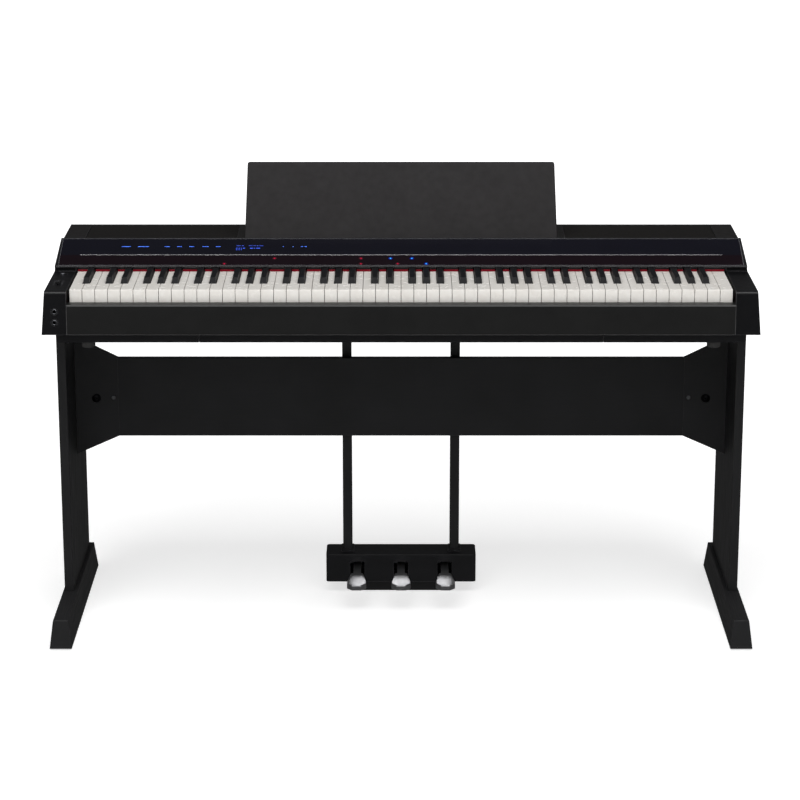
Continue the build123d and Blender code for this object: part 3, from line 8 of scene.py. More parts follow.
# %% Load the frame
import math
import bmesh
import bpy
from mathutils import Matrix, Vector


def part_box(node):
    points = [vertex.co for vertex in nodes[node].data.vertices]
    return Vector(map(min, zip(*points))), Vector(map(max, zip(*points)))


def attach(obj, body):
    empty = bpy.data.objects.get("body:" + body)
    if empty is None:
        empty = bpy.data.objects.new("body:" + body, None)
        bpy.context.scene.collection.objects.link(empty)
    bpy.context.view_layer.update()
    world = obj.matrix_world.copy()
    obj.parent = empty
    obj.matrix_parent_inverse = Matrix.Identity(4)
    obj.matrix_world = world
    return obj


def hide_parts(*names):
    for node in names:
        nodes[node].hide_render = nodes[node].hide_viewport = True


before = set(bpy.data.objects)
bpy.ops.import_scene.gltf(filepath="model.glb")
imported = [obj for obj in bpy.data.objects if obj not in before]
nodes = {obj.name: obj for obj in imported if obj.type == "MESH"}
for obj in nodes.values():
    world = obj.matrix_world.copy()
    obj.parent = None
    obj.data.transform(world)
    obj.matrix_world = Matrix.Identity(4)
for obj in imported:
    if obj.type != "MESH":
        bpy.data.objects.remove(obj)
scene = bpy.context.scene
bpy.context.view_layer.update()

# %% [markdown]
# ## Colours and shader nodes
# A colour picked on a screen is an sRGB value, and shaders work with linear light, so one function converts
# every colour. A second function adds a shader node with its settings and its links in one line, which
# keeps each material short enough to read as a recipe.

# %% Helpers for materials
MM = 0.001


def linear(colour):
    """An sRGB hex colour as linear RGBA."""
    parts = [int(colour[i:i + 2], 16) / 255 for i in (1, 3, 5)]
    light = [c / 12.92 if c <= 0.04045 else ((c + 0.055) / 1.055) ** 2.4 for c in parts]
    return (*light, 1.0)


def add(tree, kind, sockets=(), **settings):
    """A shader node with its settings, and a value or a link for each socket given."""
    node = tree.nodes.new(kind)
    for name, value in settings.items():
        setattr(node, name, value)
    for name, value in dict(sockets).items():
        if isinstance(value, bpy.types.NodeSocket):
            tree.links.new(value, node.inputs[name])
        else:
            node.inputs[name].default_value = value
    return node


print("#808080 is", round(linear("#808080")[0], 3), "in linear light")

# %% [markdown]
# ## What every surface shares
# A moulded or cut edge is never perfectly sharp: it has a radius of a few tenths of a millimetre, and that
# radius is what catches the light and draws the outline of a black object. Modelling it on every edge would
# cost a lot of faces, so the Bevel node rounds the shading normal only. Comparing that rounded normal with
# the true one also tells where the edges are, and there the colour is painted a little lighter: a painted
# highlight along each edge.

# %% Surface helpers
# Places of the colour sockets on a Mix node, which share their names with its other sockets.
MIX_A, MIX_B, MIX_RESULT = 6, 7, 2
# Noise keeps mostly between these values, so they are stretched over the whole range asked for.
NOISE_LOW, NOISE_HIGH = 0.3, 0.7
EDGE_POLISH = 0.55


def per_mm(size):
    """Texture scale whose features measure size mm, as object coordinates are in metres."""
    return 1 / (size * MM)


# The mask marks where a material paints its edge highlight, and where moulded parts are polished.
def edge_polish_and_highlight(tree, radius, low=0.02, high=0.25):
    """The edge-rounded normal, and a mask that is 1 on the edges."""
    soft = add(tree, "ShaderNodeBevel", {"Radius": radius * MM}, samples=6).outputs["Normal"]
    true = add(tree, "ShaderNodeNewGeometry").outputs["Normal"]
    dot = add(tree, "ShaderNodeVectorMath", {0: soft, 1: true}, operation="DOT_PRODUCT").outputs["Value"]
    ranges = {"Value": dot, "From Min": 1 - low, "From Max": 1 - high}
    return soft, add(tree, "ShaderNodeMapRange", ranges).outputs["Result"]


def mottle(tree, place, size, low, high, detail=3.0):
    """Noise with features of size mm, spread between two values."""
    noise = add(tree, "ShaderNodeTexNoise", {"Vector": place, "Scale": per_mm(size), "Detail": detail})
    ranges = {"Value": noise.outputs[0], "From Min": NOISE_LOW, "From Max": NOISE_HIGH,
              "To Min": low, "To Max": high}
    return add(tree, "ShaderNodeMapRange", ranges).outputs["Result"]


def blend_colours(tree, factor, first, second):
    """Mix of two colours, each a hex string or a socket."""
    ends = [linear(c) if isinstance(c, str) else c for c in (first, second)]
    mix = add(tree, "ShaderNodeMix", {0: factor, MIX_A: ends[0], MIX_B: ends[1]}, data_type="RGBA")
    return mix.outputs[MIX_RESULT]


def polished_edges(tree, edges, rough):
    """Roughness that handling has brought down on the edges."""
    ranges = {"Value": edges, "To Min": 1.0, "To Max": EDGE_POLISH}
    smooth = add(tree, "ShaderNodeMapRange", ranges).outputs["Result"]
    return add(tree, "ShaderNodeMath", {0: rough, 1: smooth}, operation="MULTIPLY").outputs[0]


def start(name):
    """An empty material, with its node tree and object coordinates."""
    material = bpy.data.materials.new(name)
    material.use_nodes = True
    material.node_tree.nodes.clear()
    place = add(material.node_tree, "ShaderNodeTexCoord").outputs["Object"]
    return material, material.node_tree, place


def finish_material(tree, sockets):
    """Principled shader with the sockets given, on the material's output."""
    shader = add(tree, "ShaderNodeBsdfPrincipled", sockets)
    add(tree, "ShaderNodeOutputMaterial", {"Surface": shader.outputs[0]})


print("a 2 mm feature has the texture scale", round(per_mm(2)))

# %% [markdown]
# ## Foil-laminated particle board
# The stand's boards are particle board wrapped in black melamine foil. The foil is embossed with a low,
# stretched grain, so it gives the eye a soft sheen with faint long streaks and no gloss. Stretched noise
# makes the streaks. Its cells are 0.8 by 16 mm, about twice as coarse as the real embossing, so that it
# shows at this distance.

# %% Black melamine foil
FOIL_GRAIN = 0.8


def black_foil(name, colour, lighter_tone_and_highlight, stretch):
    """Black foil whose streaks run the way that stretch leaves long."""
    material, tree, place = start(name)
    soft, edges = edge_polish_and_highlight(tree, 1.2)
    streaks = add(tree, "ShaderNodeVectorMath", {0: place, 1: stretch}, operation="MULTIPLY").outputs[0]
    grain = mottle(tree, streaks, FOIL_GRAIN, 0.0, 1.0, 4.0)
    cloud = mottle(tree, place, 90.0, 0.0, 1.0)
    base = blend_colours(tree, cloud, colour, lighter_tone_and_highlight)
    tinted = blend_colours(tree, mottle(tree, streaks, FOIL_GRAIN, 0.0, 0.35), base, lighter_tone_and_highlight)
    sheen = {"Height": grain, "Strength": 0.25, "Distance": 0.05 * MM, "Normal": soft}
    finish_material(tree, {
        # The edges are painted lighter, towards #3c3c3e: a painted highlight.
        "Base Color": blend_colours(tree, edges, tinted, "#3c3c3e"),
        "Roughness": mottle(tree, streaks, 3.0, 0.42, 0.56),
        "IOR": 1.5,
        "Specular IOR Level": 0.3,
        "Normal": add(tree, "ShaderNodeBump", sheen).outputs[0],
    })
    return material


ALONG_X = (0.05, 1.0, 1.0)
ALONG_Z = (1.0, 1.0, 0.05)
ALONG_Y = (1.0, 0.05, 1.0)
foil_upright = black_foil("black_melamine_foil_upright", "#1a1a1b", "#1f1f20", ALONG_Z)
foil_level = black_foil("black_melamine_foil_level", "#1a1a1b", "#1e1e20", ALONG_X)
foil_foot = black_foil("black_melamine_foil_foot", "#1b1b1c", "#202021", ALONG_Y)
print(foil_upright.name, foil_level.name, foil_foot.name)

# %% [markdown]
# ## Moulded ABS
# The case is injection-moulded ABS. The mould is spark-eroded, which leaves a pebbled texture of about 0.3
# mm, and the eye gets an even, dull black. The same recipe makes each part of the case: only the shade and
# the size of the texture change. It is drawn at 0.7 mm, because 0.3 mm would vanish.

# %% Textured black ABS
def moulded_abs(name, colour, second, pebble=0.7, rough=(0.42, 0.5), radius=1.3, lighter_tone_and_highlight="#58585b",
                specular=0.22):
    """Moulded black with pebbles of that size in mm, and a painted highlight in the lighter colour on edges of
    that radius.
    """
    material, tree, place = start(name)
    soft, edges = edge_polish_and_highlight(tree, radius)
    size = {"Vector": place, "Scale": per_mm(pebble)}
    cells = add(tree, "ShaderNodeTexVoronoi", size, feature="SMOOTH_F1").outputs["Distance"]
    bump = {"Height": cells, "Strength": 0.22, "Distance": 0.06 * MM, "Normal": soft}
    base = blend_colours(tree, mottle(tree, place, 60.0, 0.0, 1.0), colour, second)
    speckle = mottle(tree, place, pebble * 2, 0.0, 0.3)
    finish_material(tree, {
        # The edges are painted in the lighter colour: a painted highlight.
        "Base Color": blend_colours(tree, edges, blend_colours(tree, speckle, base, second), lighter_tone_and_highlight),
        "Roughness": polished_edges(tree, edges, mottle(tree, place, 12.0, *rough)),
        "IOR": 1.53,
        "Specular IOR Level": specular,
        "Normal": add(tree, "ShaderNodeBump", bump).outputs[0],
    })
    return material


# The last colour of each shade below, and the default, is a painted highlight on the edges.
front_abs = moulded_abs("moulded_abs_front", "#151515", "#181818", rough=(0.3, 0.38), radius=1.8,
                        lighter_tone_and_highlight="#6d6d6d", specular=0.32)
block_abs = moulded_abs("moulded_abs_end_block", "#0b0b0d", "#0f0f11", rough=(0.3, 0.36), specular=0.26)
belly_abs = moulded_abs("moulded_abs_tray", "#131315", "#171719")
top_abs = moulded_abs("moulded_abs_top", "#161515", "#1a1919")
frame_abs = moulded_abs("moulded_abs_panel_frame", "#141416", "#19191b", 0.5, (0.3, 0.4), 1.5, "#8a8a8e")
rest_abs = moulded_abs("moulded_abs_music_rest", "#1b191a", "#201e1f", 1.1, (0.55, 0.68), 0.9, "#4c4a4a")
small_abs = moulded_abs("moulded_abs_small_parts", "#161617", "#1c1c1e", 0.4, (0.35, 0.5), 0.4)
print("seven shades of moulded ABS")

# %% [markdown]
# ## Keys
# White keys are moulded in an ivory-coloured acrylic and polished: glossy, slightly warm, and a little
# cloudy from one key to the next. Black keys are moulded matte and rough like worn ebony, so that fingers
# don't slip, and only their edges shine. Both are given small edge radii, and their edges are painted lighter
# as a painted highlight, because the glints along the key edges are what make a keyboard legible.

# %% White acrylic and matte black keys
def key_plastic(name, colour, second, rough, radius, specular, lighter_tone_and_highlight):
    """Key plastic with a faint grain along the key."""
    material, tree, place = start(name)
    soft, edges = edge_polish_and_highlight(tree, radius)
    along = add(tree, "ShaderNodeVectorMath", {0: place, 1: ALONG_Y}, operation="MULTIPLY").outputs[0]
    lines = mottle(tree, along, 0.9, 0.0, 1.0)
    grain = {"Height": lines, "Strength": 0.08, "Distance": 0.03 * MM, "Normal": soft}
    base = blend_colours(tree, mottle(tree, along, 14.0, 0.0, 1.0), colour, second)
    finish_material(tree, {
        # The edges are painted in the lighter colour: a painted highlight.
        "Base Color": blend_colours(tree, edges, base, lighter_tone_and_highlight),
        "Roughness": mottle(tree, place, 18.0, *rough),
        "IOR": 1.49,
        "Specular IOR Level": specular,
        "Normal": add(tree, "ShaderNodeBump", grain).outputs[0],
    })
    return material


ivory_acrylic = key_plastic("polished_ivory_acrylic", "#e2dfda", "#dcd8d2", (0.18, 0.3), 0.6, 0.5, "#efece6")
matte_key = key_plastic("matte_black_key_plastic", "#131315", "#18181a", (0.42, 0.52), 0.7, 0.12, "#606063")
print(ivory_acrylic.name, matte_key.name)

# %% [markdown]
# ## Smoked acrylic
# The control panel is one sheet of smoked acrylic with printing on its back. Above the trim line it is a
# cool blue-black, below it a warmer purple-black, and its polished face picks up soft reflections. The two
# tints meet at the trim line, so the mask is read from the height of that node.

# %% Smoked acrylic sheet
trim_low, trim_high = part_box("panel_trim_line")
TRIM_Z = (trim_low.z + trim_high.z) / 2


def smoked_acrylic(name):
    """Smoked sheet, cool above the trim line and warm below it."""
    material, tree, place = start(name)
    soft, edges = edge_polish_and_highlight(tree, 1.3)
    height = add(tree, "ShaderNodeSeparateXYZ", {0: place}).outputs["Z"]
    upper = add(tree, "ShaderNodeMath", {0: height, 1: TRIM_Z}, operation="GREATER_THAN").outputs[0]
    haze = mottle(tree, place, 140.0, 0.0, 1.0)
    cool = blend_colours(tree, haze, "#0d0d15", "#101018")
    warm = blend_colours(tree, haze, "#10080d", "#140a11")
    smudge = mottle(tree, place, 25.0, 0.1, 0.16)
    lines = mottle(tree, place, 0.6, 0.0, 1.0)
    scratch = {"Height": lines, "Strength": 0.03, "Distance": 0.02 * MM, "Normal": soft}
    finish_material(tree, {
        # The edges are painted lighter, towards #8a8a90: a painted highlight on the sheet's edges.
        "Base Color": blend_colours(tree, edges, blend_colours(tree, upper, warm, cool), "#8a8a90"),
        "Roughness": smudge,
        "IOR": 1.49,
        "Specular IOR Level": 0.3,
        "Normal": add(tree, "ShaderNodeBump", scratch).outputs[0],
    })
    return material


smoked = smoked_acrylic("smoked_acrylic_sheet")
print("the two tints meet at z", round(TRIM_Z, 4))

# %% [markdown]
# ## Cloth and felt
# The grilles are covered with a plain-woven polyester cloth. Two crossed waves give its threads, 1.6 mm
# apart, twice the real spacing so that it shows. The felt behind the keys is pressed wool: no weave, just
# fuzz, so it is noise at two scales with a sheen that lifts it at grazing angles.

# %% Speaker cloth and felt
THREAD_SPACING = 1.6
# A Wave texture of scale 1 has one band every pi / 10 units.
BAND_AT_SCALE_ONE = math.pi / 10


def speaker_cloth(name):
    """Plain weave from two crossed waves."""
    material, tree, place = start(name)
    warp = {"Vector": place, "Scale": per_mm(THREAD_SPACING) * BAND_AT_SCALE_ONE}
    threads = add(tree, "ShaderNodeTexWave", warp, bands_direction="X").outputs[0]
    weft = add(tree, "ShaderNodeTexWave", warp, bands_direction="Y").outputs[0]
    weave = add(tree, "ShaderNodeMath", {0: threads, 1: weft}, operation="MULTIPLY").outputs[0]
    bump = {"Height": weave, "Strength": 0.6, "Distance": 0.3 * MM}
    base = blend_colours(tree, weave, "#121110", "#1b1a19")
    finish_material(tree, {
        "Base Color": blend_colours(tree, mottle(tree, place, 30.0, 0.0, 0.3), base, "#181515"),
        "Roughness": mottle(tree, place, 4.0, 0.8, 0.95),
        "Specular IOR Level": 0.1,
        "Sheen Weight": 0.01,
        "Sheen Roughness": 0.5,
        "Normal": add(tree, "ShaderNodeBump", bump).outputs[0],
    })
    return material


def wool_felt(name, colour, second):
    """Pressed wool, with fuzz and no weave."""
    material, tree, place = start(name)
    fuzz = mottle(tree, place, 0.5, 0.0, 1.0, 5.0)
    bump = {"Height": fuzz, "Strength": 0.7, "Distance": 0.3 * MM}
    finish_material(tree, {
        "Base Color": blend_colours(tree, mottle(tree, place, 1.5, 0.0, 1.0), colour, second),
        "Roughness": mottle(tree, place, 3.0, 0.85, 1.0),
        "Specular IOR Level": 0.1,
        "Sheen Weight": 0.25,
        "Sheen Roughness": 0.4,
        "Normal": add(tree, "ShaderNodeBump", bump).outputs[0],
    })
    return material


cloth = speaker_cloth("woven_speaker_cloth")
crimson = wool_felt("crimson_wool_felt", "#8a1022", "#720c1b")
glide_felt = wool_felt("grey_glide_felt", "#3a3938", "#2f2e2d")
print(cloth.name, crimson.name, glide_felt.name)

# %% [markdown]
# ## Metals
# The pedals are steel with a satin nickel plate, brushed along their length, with a painted highlight on
# the rims. The brackets are zinc-plated and passivated, slightly blotchy. The bolts are black oxide. The trim
# line, and the cap of the power button, are satin aluminium. In each, a stretched noise is the tool's track,
# the edges are painted brighter as a highlight, and only the colour, roughness and direction differ.

# %% Plated and brushed metals
def metal(name, colour, second, rough, stretch, track=0.4, blotch=20.0, radius=0.6, edge_highlight="#ffffff"):
    """Metal with tool tracks of that width in mm, and its edges painted brighter as a painted highlight."""
    material, tree, place = start(name)
    soft, edges = edge_polish_and_highlight(tree, radius)
    tracks = add(tree, "ShaderNodeVectorMath", {0: place, 1: stretch}, operation="MULTIPLY").outputs[0]
    line = mottle(tree, tracks, track, 0.0, 1.0, 4.0)
    bump = {"Height": line, "Strength": 0.1, "Distance": 0.03 * MM, "Normal": soft}
    base = blend_colours(tree, mottle(tree, place, blotch, 0.0, 1.0), colour, second)
    finish_material(tree, {
        # The edges are painted brighter: a painted highlight.
        "Base Color": blend_colours(tree, edges, base, edge_highlight),
        "Metallic": 1.0,
        "Roughness": mottle(tree, tracks, track * 3, *rough),
        "Normal": add(tree, "ShaderNodeBump", bump).outputs[0],
    })
    return material


EVEN = (1.0, 1.0, 1.0)
satin_nickel = metal("satin_nickel_plated_steel", "#c9c9cb", "#bcbcbf", (0.3, 0.42), ALONG_Y, radius=1.2)
zinc = metal("zinc_plated_steel", "#a9abae", "#8f9194", (0.35, 0.5), EVEN, 1.5, 8.0, edge_highlight="#d0d2d4")
black_oxide = metal("black_oxide_steel", "#2c2c2e", "#222224", (0.35, 0.5), EVEN, 0.8, 6.0, edge_highlight="#5a5a5c")
aluminium = metal("satin_aluminium", "#85868c", "#7a7b80", (0.35, 0.45), ALONG_X, 0.3, 30.0)
print(satin_nickel.name, zinc.name, black_oxide.name, aluminium.name)

# %% [markdown]
# ## Inner parts
# Under the instrument, and wherever a key is pressed, some of the inside shows: the glass-filled nylon of
# the key frame, the green epoxy circuit boards, the coated paper cones of the speakers in their steel
# baskets, and rubber feet. They get the same care at a plainer level.

# %% Rubber, nylon, epoxy board and speaker parts
def plain_finish(name, colour, second, size, rough, ior, bump_depth):
    """Dull finish with spots of that size in mm."""
    material, tree, place = start(name)
    spots = mottle(tree, place, size, 0.0, 1.0, 4.0)
    bump = {"Height": spots, "Strength": 0.3, "Distance": bump_depth * MM}
    finish_material(tree, {
        "Base Color": blend_colours(tree, spots, colour, second),
        "Roughness": mottle(tree, place, size * 3, *rough),
        "IOR": ior,
        "Normal": add(tree, "ShaderNodeBump", bump).outputs[0],
    })
    return material


rubber = plain_finish("moulded_rubber", "#262626", "#2e2d2c", 1.2, (0.7, 0.85), 1.52, 0.05)
nylon = plain_finish("glass_filled_nylon", "#4a4a4c", "#3e3e40", 0.9, (0.5, 0.65), 1.53, 0.04)
epoxy_board = plain_finish("green_epoxy_board", "#1c4a2a", "#255c35", 2.5, (0.3, 0.45), 1.55, 0.03)
paper_cone = plain_finish("coated_paper_and_steel", "#2a2928", "#353433", 1.0, (0.6, 0.8), 1.5, 0.1)
print(rubber.name, nylon.name, epoxy_board.name, paper_cone.name)

# %% [markdown]
# ## Giving every node its finish
# A CAD node keeps its shape and only gets a material. The boards need three versions of the foil, because the
# grain runs along each board.

# %% Assign the finishes
FINISHES = {
    foil_upright: ["left_leg", "right_leg", "pedal_posts"],
    foil_level: ["back_board", "left_wing", "right_wing", "pedal_base"],
    foil_foot: ["left_foot", "right_foot"],
    front_abs: ["key_slip"],
    block_abs: ["left_end_block", "right_end_block"],
    belly_abs: ["bottom_panel_centre", "bottom_side_panels", "pedal_box", "rear_cover"],
    top_abs: ["top_cover", "end_caps"],
    frame_abs: ["panel_frame"],
    rest_abs: ["music_rest"],
    small_abs: ["volume_slider", "headphone_jacks", "rear_sockets"],
    ivory_acrylic: ["other_white_keys"],
    matte_key: ["other_black_keys"],
    smoked: ["control_panel"],
    cloth: ["speaker_grilles"],
    crimson: ["key_felt_strip", "key_stop_felt"],
    glide_felt: ["foot_glides"],
    satin_nickel: ["left_pedal", "middle_pedal", "right_pedal"],
    zinc: ["stand_brackets", "small_screws", "key_pivot_rod", "pedal_pivot_rod"],
    black_oxide: ["stand_bolts", "pedal_springs"],
    aluminium: ["panel_trim_line", "power_button"],
    rubber: ["case_feet"],
    nylon: ["key_frame"],
    epoxy_board: ["sensor_board", "main_board"],
    paper_cone: ["woofers", "tweeters"],
}
for name in nodes:
    if name.startswith("key_") and name[-1] == "4":
        FINISHES[matte_key if "sharp" in name else ivory_acrylic].append(name)
finish_of = {name: material for material, names in FINISHES.items() for name in names}
for name, material in finish_of.items():
    nodes[name].data.materials.clear()
    nodes[name].data.materials.append(material)
print("without a finish:", sorted(set(nodes) - set(finish_of)))

# %% [markdown]
# ## Where the panel is
# Everything lit on the panel lies on its outer face. The face is found from the sheet itself: its largest
# sloping triangle gives the plane, and the lower edge of the frame gives the zero line. From there a place
# on the panel is two numbers, along it and up it.

# %% The panel's own directions
sheet = nodes["control_panel"].data
outer = max(sheet.polygons, key=lambda p: p.area * (p.normal.z > 0.5) * (p.normal.y < -0.1))
NORMAL = outer.normal.copy()
UP = Vector((0, NORMAL.z, -NORMAL.y))
plane_point = sheet.vertices[outer.vertices[0]].co
FRAME_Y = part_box("panel_frame")[0].y
ZERO = plane_point + UP * ((FRAME_Y - plane_point.y) / UP.y)


def on_panel(x, up, out=0.0):
    """The point x mm from the middle, up mm up the panel and out mm off its face."""
    return Vector((x * MM, ZERO.y, ZERO.z)) + UP * (up * MM) + NORMAL * (out * MM)


print("panel slope", round(math.degrees(math.atan2(UP.z, UP.y)), 1), "degrees")
print("zero line", [round(v, 4) for v in ZERO])

# %% [markdown]
# ## Lit markings
# Behind the sheet, small LEDs shine through windows in the print: a row of touch markings, a small two-line
# display and eight guide lamps. Real windows are laser-cut film with rounded ends, so each marking is a
# thin rounded pad that stands a hair above the sheet. Its glow is an emission whose strength wanders a
# little along the pad, because one LED behind a long window never lights it evenly.

# %% Lit film
def lit_film(name, colour, core, strength, cell):
    """Glowing film, stronger and weaker in patches of that size in mm."""
    material, tree, place = start(name)
    uneven = mottle(tree, place, cell, 0.35, 1.0)
    glow = add(tree, "ShaderNodeMath", {0: uneven, 1: strength}, operation="MULTIPLY").outputs[0]
    finish_material(tree, {
        "Base Color": blend_colours(tree, uneven, colour, core),
        "Roughness": mottle(tree, place, cell, 0.2, 0.4),
        "IOR": 1.49,
        "Emission Color": blend_colours(tree, uneven, colour, core),
        "Emission Strength": glow,
    })
    return material


blue_film = lit_film("blue_lit_film", "#1f48d8", "#4f86ff", 1.3, 3.0)
dim_film = lit_film("dim_blue_lit_film", "#16248c", "#3c5ee0", 1.0, 3.0)
print(blue_film.name, dim_film.name)

# %% Rounded pads
PAD_ENDS = 6
# Each ring of a pad: its share of the outline and of the height.
PAD_RINGS = ((1.0, -1.0), (1.0, 0.5), (0.8, 1.0))


def case_piece(name, mesh, material, smooth=False):
    """An object of a finished mesh, which rides on the case."""
    bmesh.ops.recalc_face_normals(mesh, faces=mesh.faces)
    data = bpy.data.meshes.new(name)
    mesh.to_mesh(data)
    mesh.free()
    for polygon in data.polygons:
        polygon.use_smooth = smooth
    data.materials.append(material)
    piece = bpy.data.objects.new(name, data)
    scene.collection.objects.link(piece)
    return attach(piece, "stand_and_case")


def join_rings(mesh, low, high):
    """A band of faces between two closed rings."""
    for i in range(len(low)):
        j = (i + 1) % len(low)
        mesh.faces.new((low[i], low[j], high[j], high[i]))


def pad_outline(length, width):
    """Corner points of a pad with half-round ends, about its middle."""
    points = []
    for side in (1, -1):
        for step in range(PAD_ENDS + 1):
            turn = math.pi * step / PAD_ENDS - math.pi / 2
            reach = (length - width) / 2 + math.cos(turn) * width / 2
            points.append((side * reach, side * math.sin(turn) * width / 2))
    return points


def pads_piece(name, pads, place_at, material, height, smooth=False):
    """One mesh of rounded pads, each (x, up, length, width) in mm, with a crowned top."""
    mesh = bmesh.new()
    for x, up, length, width in pads:
        rings = []
        for share, lift in PAD_RINGS:
            outline = pad_outline(length * share, width * share)
            rings.append([mesh.verts.new(place_at(x + a, up + b, lift * height)) for a, b in outline])
        for low, high in zip(rings, rings[1:]):
            join_rings(mesh, low, high)
        mesh.faces.new(rings[-1])
        mesh.faces.new(rings[0][::-1])
    return case_piece(name, mesh, material, smooth)


print("a pad has", len(pad_outline(10, 1)), "corners")

# %% Touch markings and display
# Places in mm: up the panel, and the two ends of each marking along it.
TOUCH_UP = 66.0
TOUCH_WIDTH = 1.3
TOUCH_SPANS = ((-533.9, -516.3), (-502.6, -481.1), (-451.7, -442.0), (-428.0, -418.5), (-404.8, -395.0),
               (-379.4, -367.6), (-354.0, -344.2), (-226.0, -223.6), (-207.4, -205.0), (-191.6, -187.2),
               (-184.6, -179.9))
touch = [((a + b) / 2, TOUCH_UP, b - a, TOUCH_WIDTH) for a, b in TOUCH_SPANS]
pads_piece("touch_marks", touch, on_panel, blue_film, 0.12)

DISPLAY_LEFT = -314.9
DISPLAY_SPACE = 6.0
TOP_BARS = (9.0, 4.0, 0.0, 7.0, 5.0, 3.0, 8.0)
LOW_BARS = (3.0, 3.0, 2.2, 4.5, 0.0, 6.0, 2.4, 8.0)


def bar_row(lengths, up, width, gap=1.6):
    """Bars laid end to end from the display's left edge. A length of 0 leaves a space."""
    row, x = [], DISPLAY_LEFT
    for length in lengths:
        if length:
            row.append((x + length / 2, up, length, width))
        x += (length or DISPLAY_SPACE) + gap
    return row


rows = bar_row(TOP_BARS, 69.0, 1.1) + bar_row(LOW_BARS, 60.5, 2.4) + bar_row(LOW_BARS[:3], 55.5, 2.0)
pads_piece("display_bars", rows, on_panel, dim_film, 0.1)
print(len(touch), "touch markings,", len(rows), "display bars")

# %% [markdown]
# ## Guide lamps
# Eight small domed light guides stand in holes of the sheet. An LED lens is brightest in its middle, where
# the chip is, and saturated in colour at its rim. Each lens is a round pad with a smooth crown, red or
# blue, and stands for the plain plug of the CAD model. A faint disc round it is the light that strays into
# the sheet.

# %% Light guides
RIM_GLOW = 0.5


def lens_glow(name, colour, core, strength):
    """Glowing lens, weaker where it turns away."""
    material, tree, place = start(name)
    facing = add(tree, "ShaderNodeLayerWeight", {"Blend": 0.6}).outputs["Facing"]
    ends = {"Value": facing, "To Min": strength, "To Max": strength * RIM_GLOW}
    glow = add(tree, "ShaderNodeMapRange", ends)
    tint = blend_colours(tree, mottle(tree, place, 1.2, 0.1, 0.5), core, colour)
    finish_material(tree, {
        "Base Color": tint,
        "Roughness": mottle(tree, place, 0.8, 0.1, 0.25),
        "IOR": 1.49,
        "Specular IOR Level": 0.1,
        "Emission Color": tint,
        "Emission Strength": glow.outputs[0],
    })
    return material


LENS_RADIUS = 1.45
LENS_RISE = 0.35
HALO_RADIUS = 4.2
HALO_RISE = 0.04
# Lamps' places in mm, along the panel and up it.
RED_LAMPS = ((-240.0, 26.4), (-76.0, 26.4), (-334.5, 8.4), (-76.0, 8.4), (-6.5, 8.4))
BLUE_LAMPS = ((-20.0, 26.4), (20.5, 26.4), (47.5, 8.4))


def discs(places, radius):
    """Round pads. Their width is a hair under their length, so that no two corners meet."""
    return [(x, up, radius * 2, radius * 2 * 0.999) for x, up in places]


def lenses_piece(name, places, material):
    """Domed lenses of one colour."""
    piece = pads_piece(name, discs(places, LENS_RADIUS), on_panel, material, LENS_RISE, smooth=True)
    return piece


red_lenses = lenses_piece("red_lamp_lenses", RED_LAMPS, lens_glow("red_led_lens", "#a8002c", "#c00038", 0.8))
lenses_piece("blue_lamp_lenses", BLUE_LAMPS, lens_glow("blue_led_lens", "#0a60ff", "#38c8ff", 1.0))
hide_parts("panel_lamps")


def halo(name, places, colour, core, strength):
    """A painted glow for the light that each lamp spreads into the acrylic round it, as a disc flush with the
    sheet.
    """
    # The disc's glowing film is a painted glow, not a lamp.
    film = lit_film(name + "_painted_glow", colour, core, strength, 2.0)
    return pads_piece(name, discs(places, HALO_RADIUS), on_panel, film, HALO_RISE)


halo("blue_halos", BLUE_LAMPS, "#04084a", "#06107a", 0.8)
halo("red_halos", RED_LAMPS, "#20060c", "#3a0812", 0.5)
print(len(RED_LAMPS), "red and", len(BLUE_LAMPS), "blue lamps")

# %% [markdown]
# ## Printed marks on the left arm
# A scale is printed beside the volume slider: three long ticks and short ones between them, and a dot marks
# the power button. The ink lies about 0.05 mm high, so the marks are the same thin pads laid on the arm.

# %% Arm printing
printing_ink = plain_finish("pale_printing_ink", "#8b8b90", "#7a7a80", 1.5, (0.5, 0.6), 1.5, 0.05)
slot_low, slot_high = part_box("volume_slider")
button_low, button_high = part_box("power_button")
# The slider's knob stands this far over the arm.
KNOB_TOP = 5.5
ARM_LEVEL = slot_high.z / MM - KNOB_TOP
TICK_SPACING = 4.3
TICK_SETBACK = 7.0
TICK_OFFSET = 7.5
TICK_WIDTH = 0.5
LONG_TICK, SHORT_TICK = 3.2, 1.6
DOT_OFFSET = 9.0
tick_x = (slot_low.x + slot_high.x) / 2 / MM
tick_y = (slot_low.y + slot_high.y) / 2 / MM


def on_arm(x, y, out):
    """Place on the left arm's top, in mm along X and Y."""
    return Vector((x, y, ARM_LEVEL + out)) * MM


ticks = []
for side in (-1, 1):
    for i in range(7):
        length = SHORT_TICK if i % 3 else LONG_TICK
        y = tick_y - TICK_SETBACK + TICK_SPACING * i
        ticks.append((tick_x + side * TICK_OFFSET, y, length, TICK_WIDTH))
dot_x = (button_low.x + button_high.x) / 2 / MM + DOT_OFFSET
dot_y = (button_low.y + button_high.y) / 2 / MM
ticks.append((dot_x, dot_y, 1.6, 1.59))
pads_piece("arm_marks", ticks, on_arm, printing_ink, 0.05)
print(len(ticks), "printed marks")

# %% [markdown]
# ## Socket bushings
# A headphone socket has a nickel-plated brass bushing pressed into its plastic collar, and that bright ring
# is all one sees of it from the front. Each ring is turned: a short tube with a rounded lip round the
# socket's bore.

# %% Bushings
# Radius, and distance behind the collar's face, in mm.
BUSHING_PROFILE = ((3.25, 0.3), (3.3, -0.35), (3.8, -0.6), (4.5, -0.5), (4.8, 0.1))
BUSHING_STEPS = 32


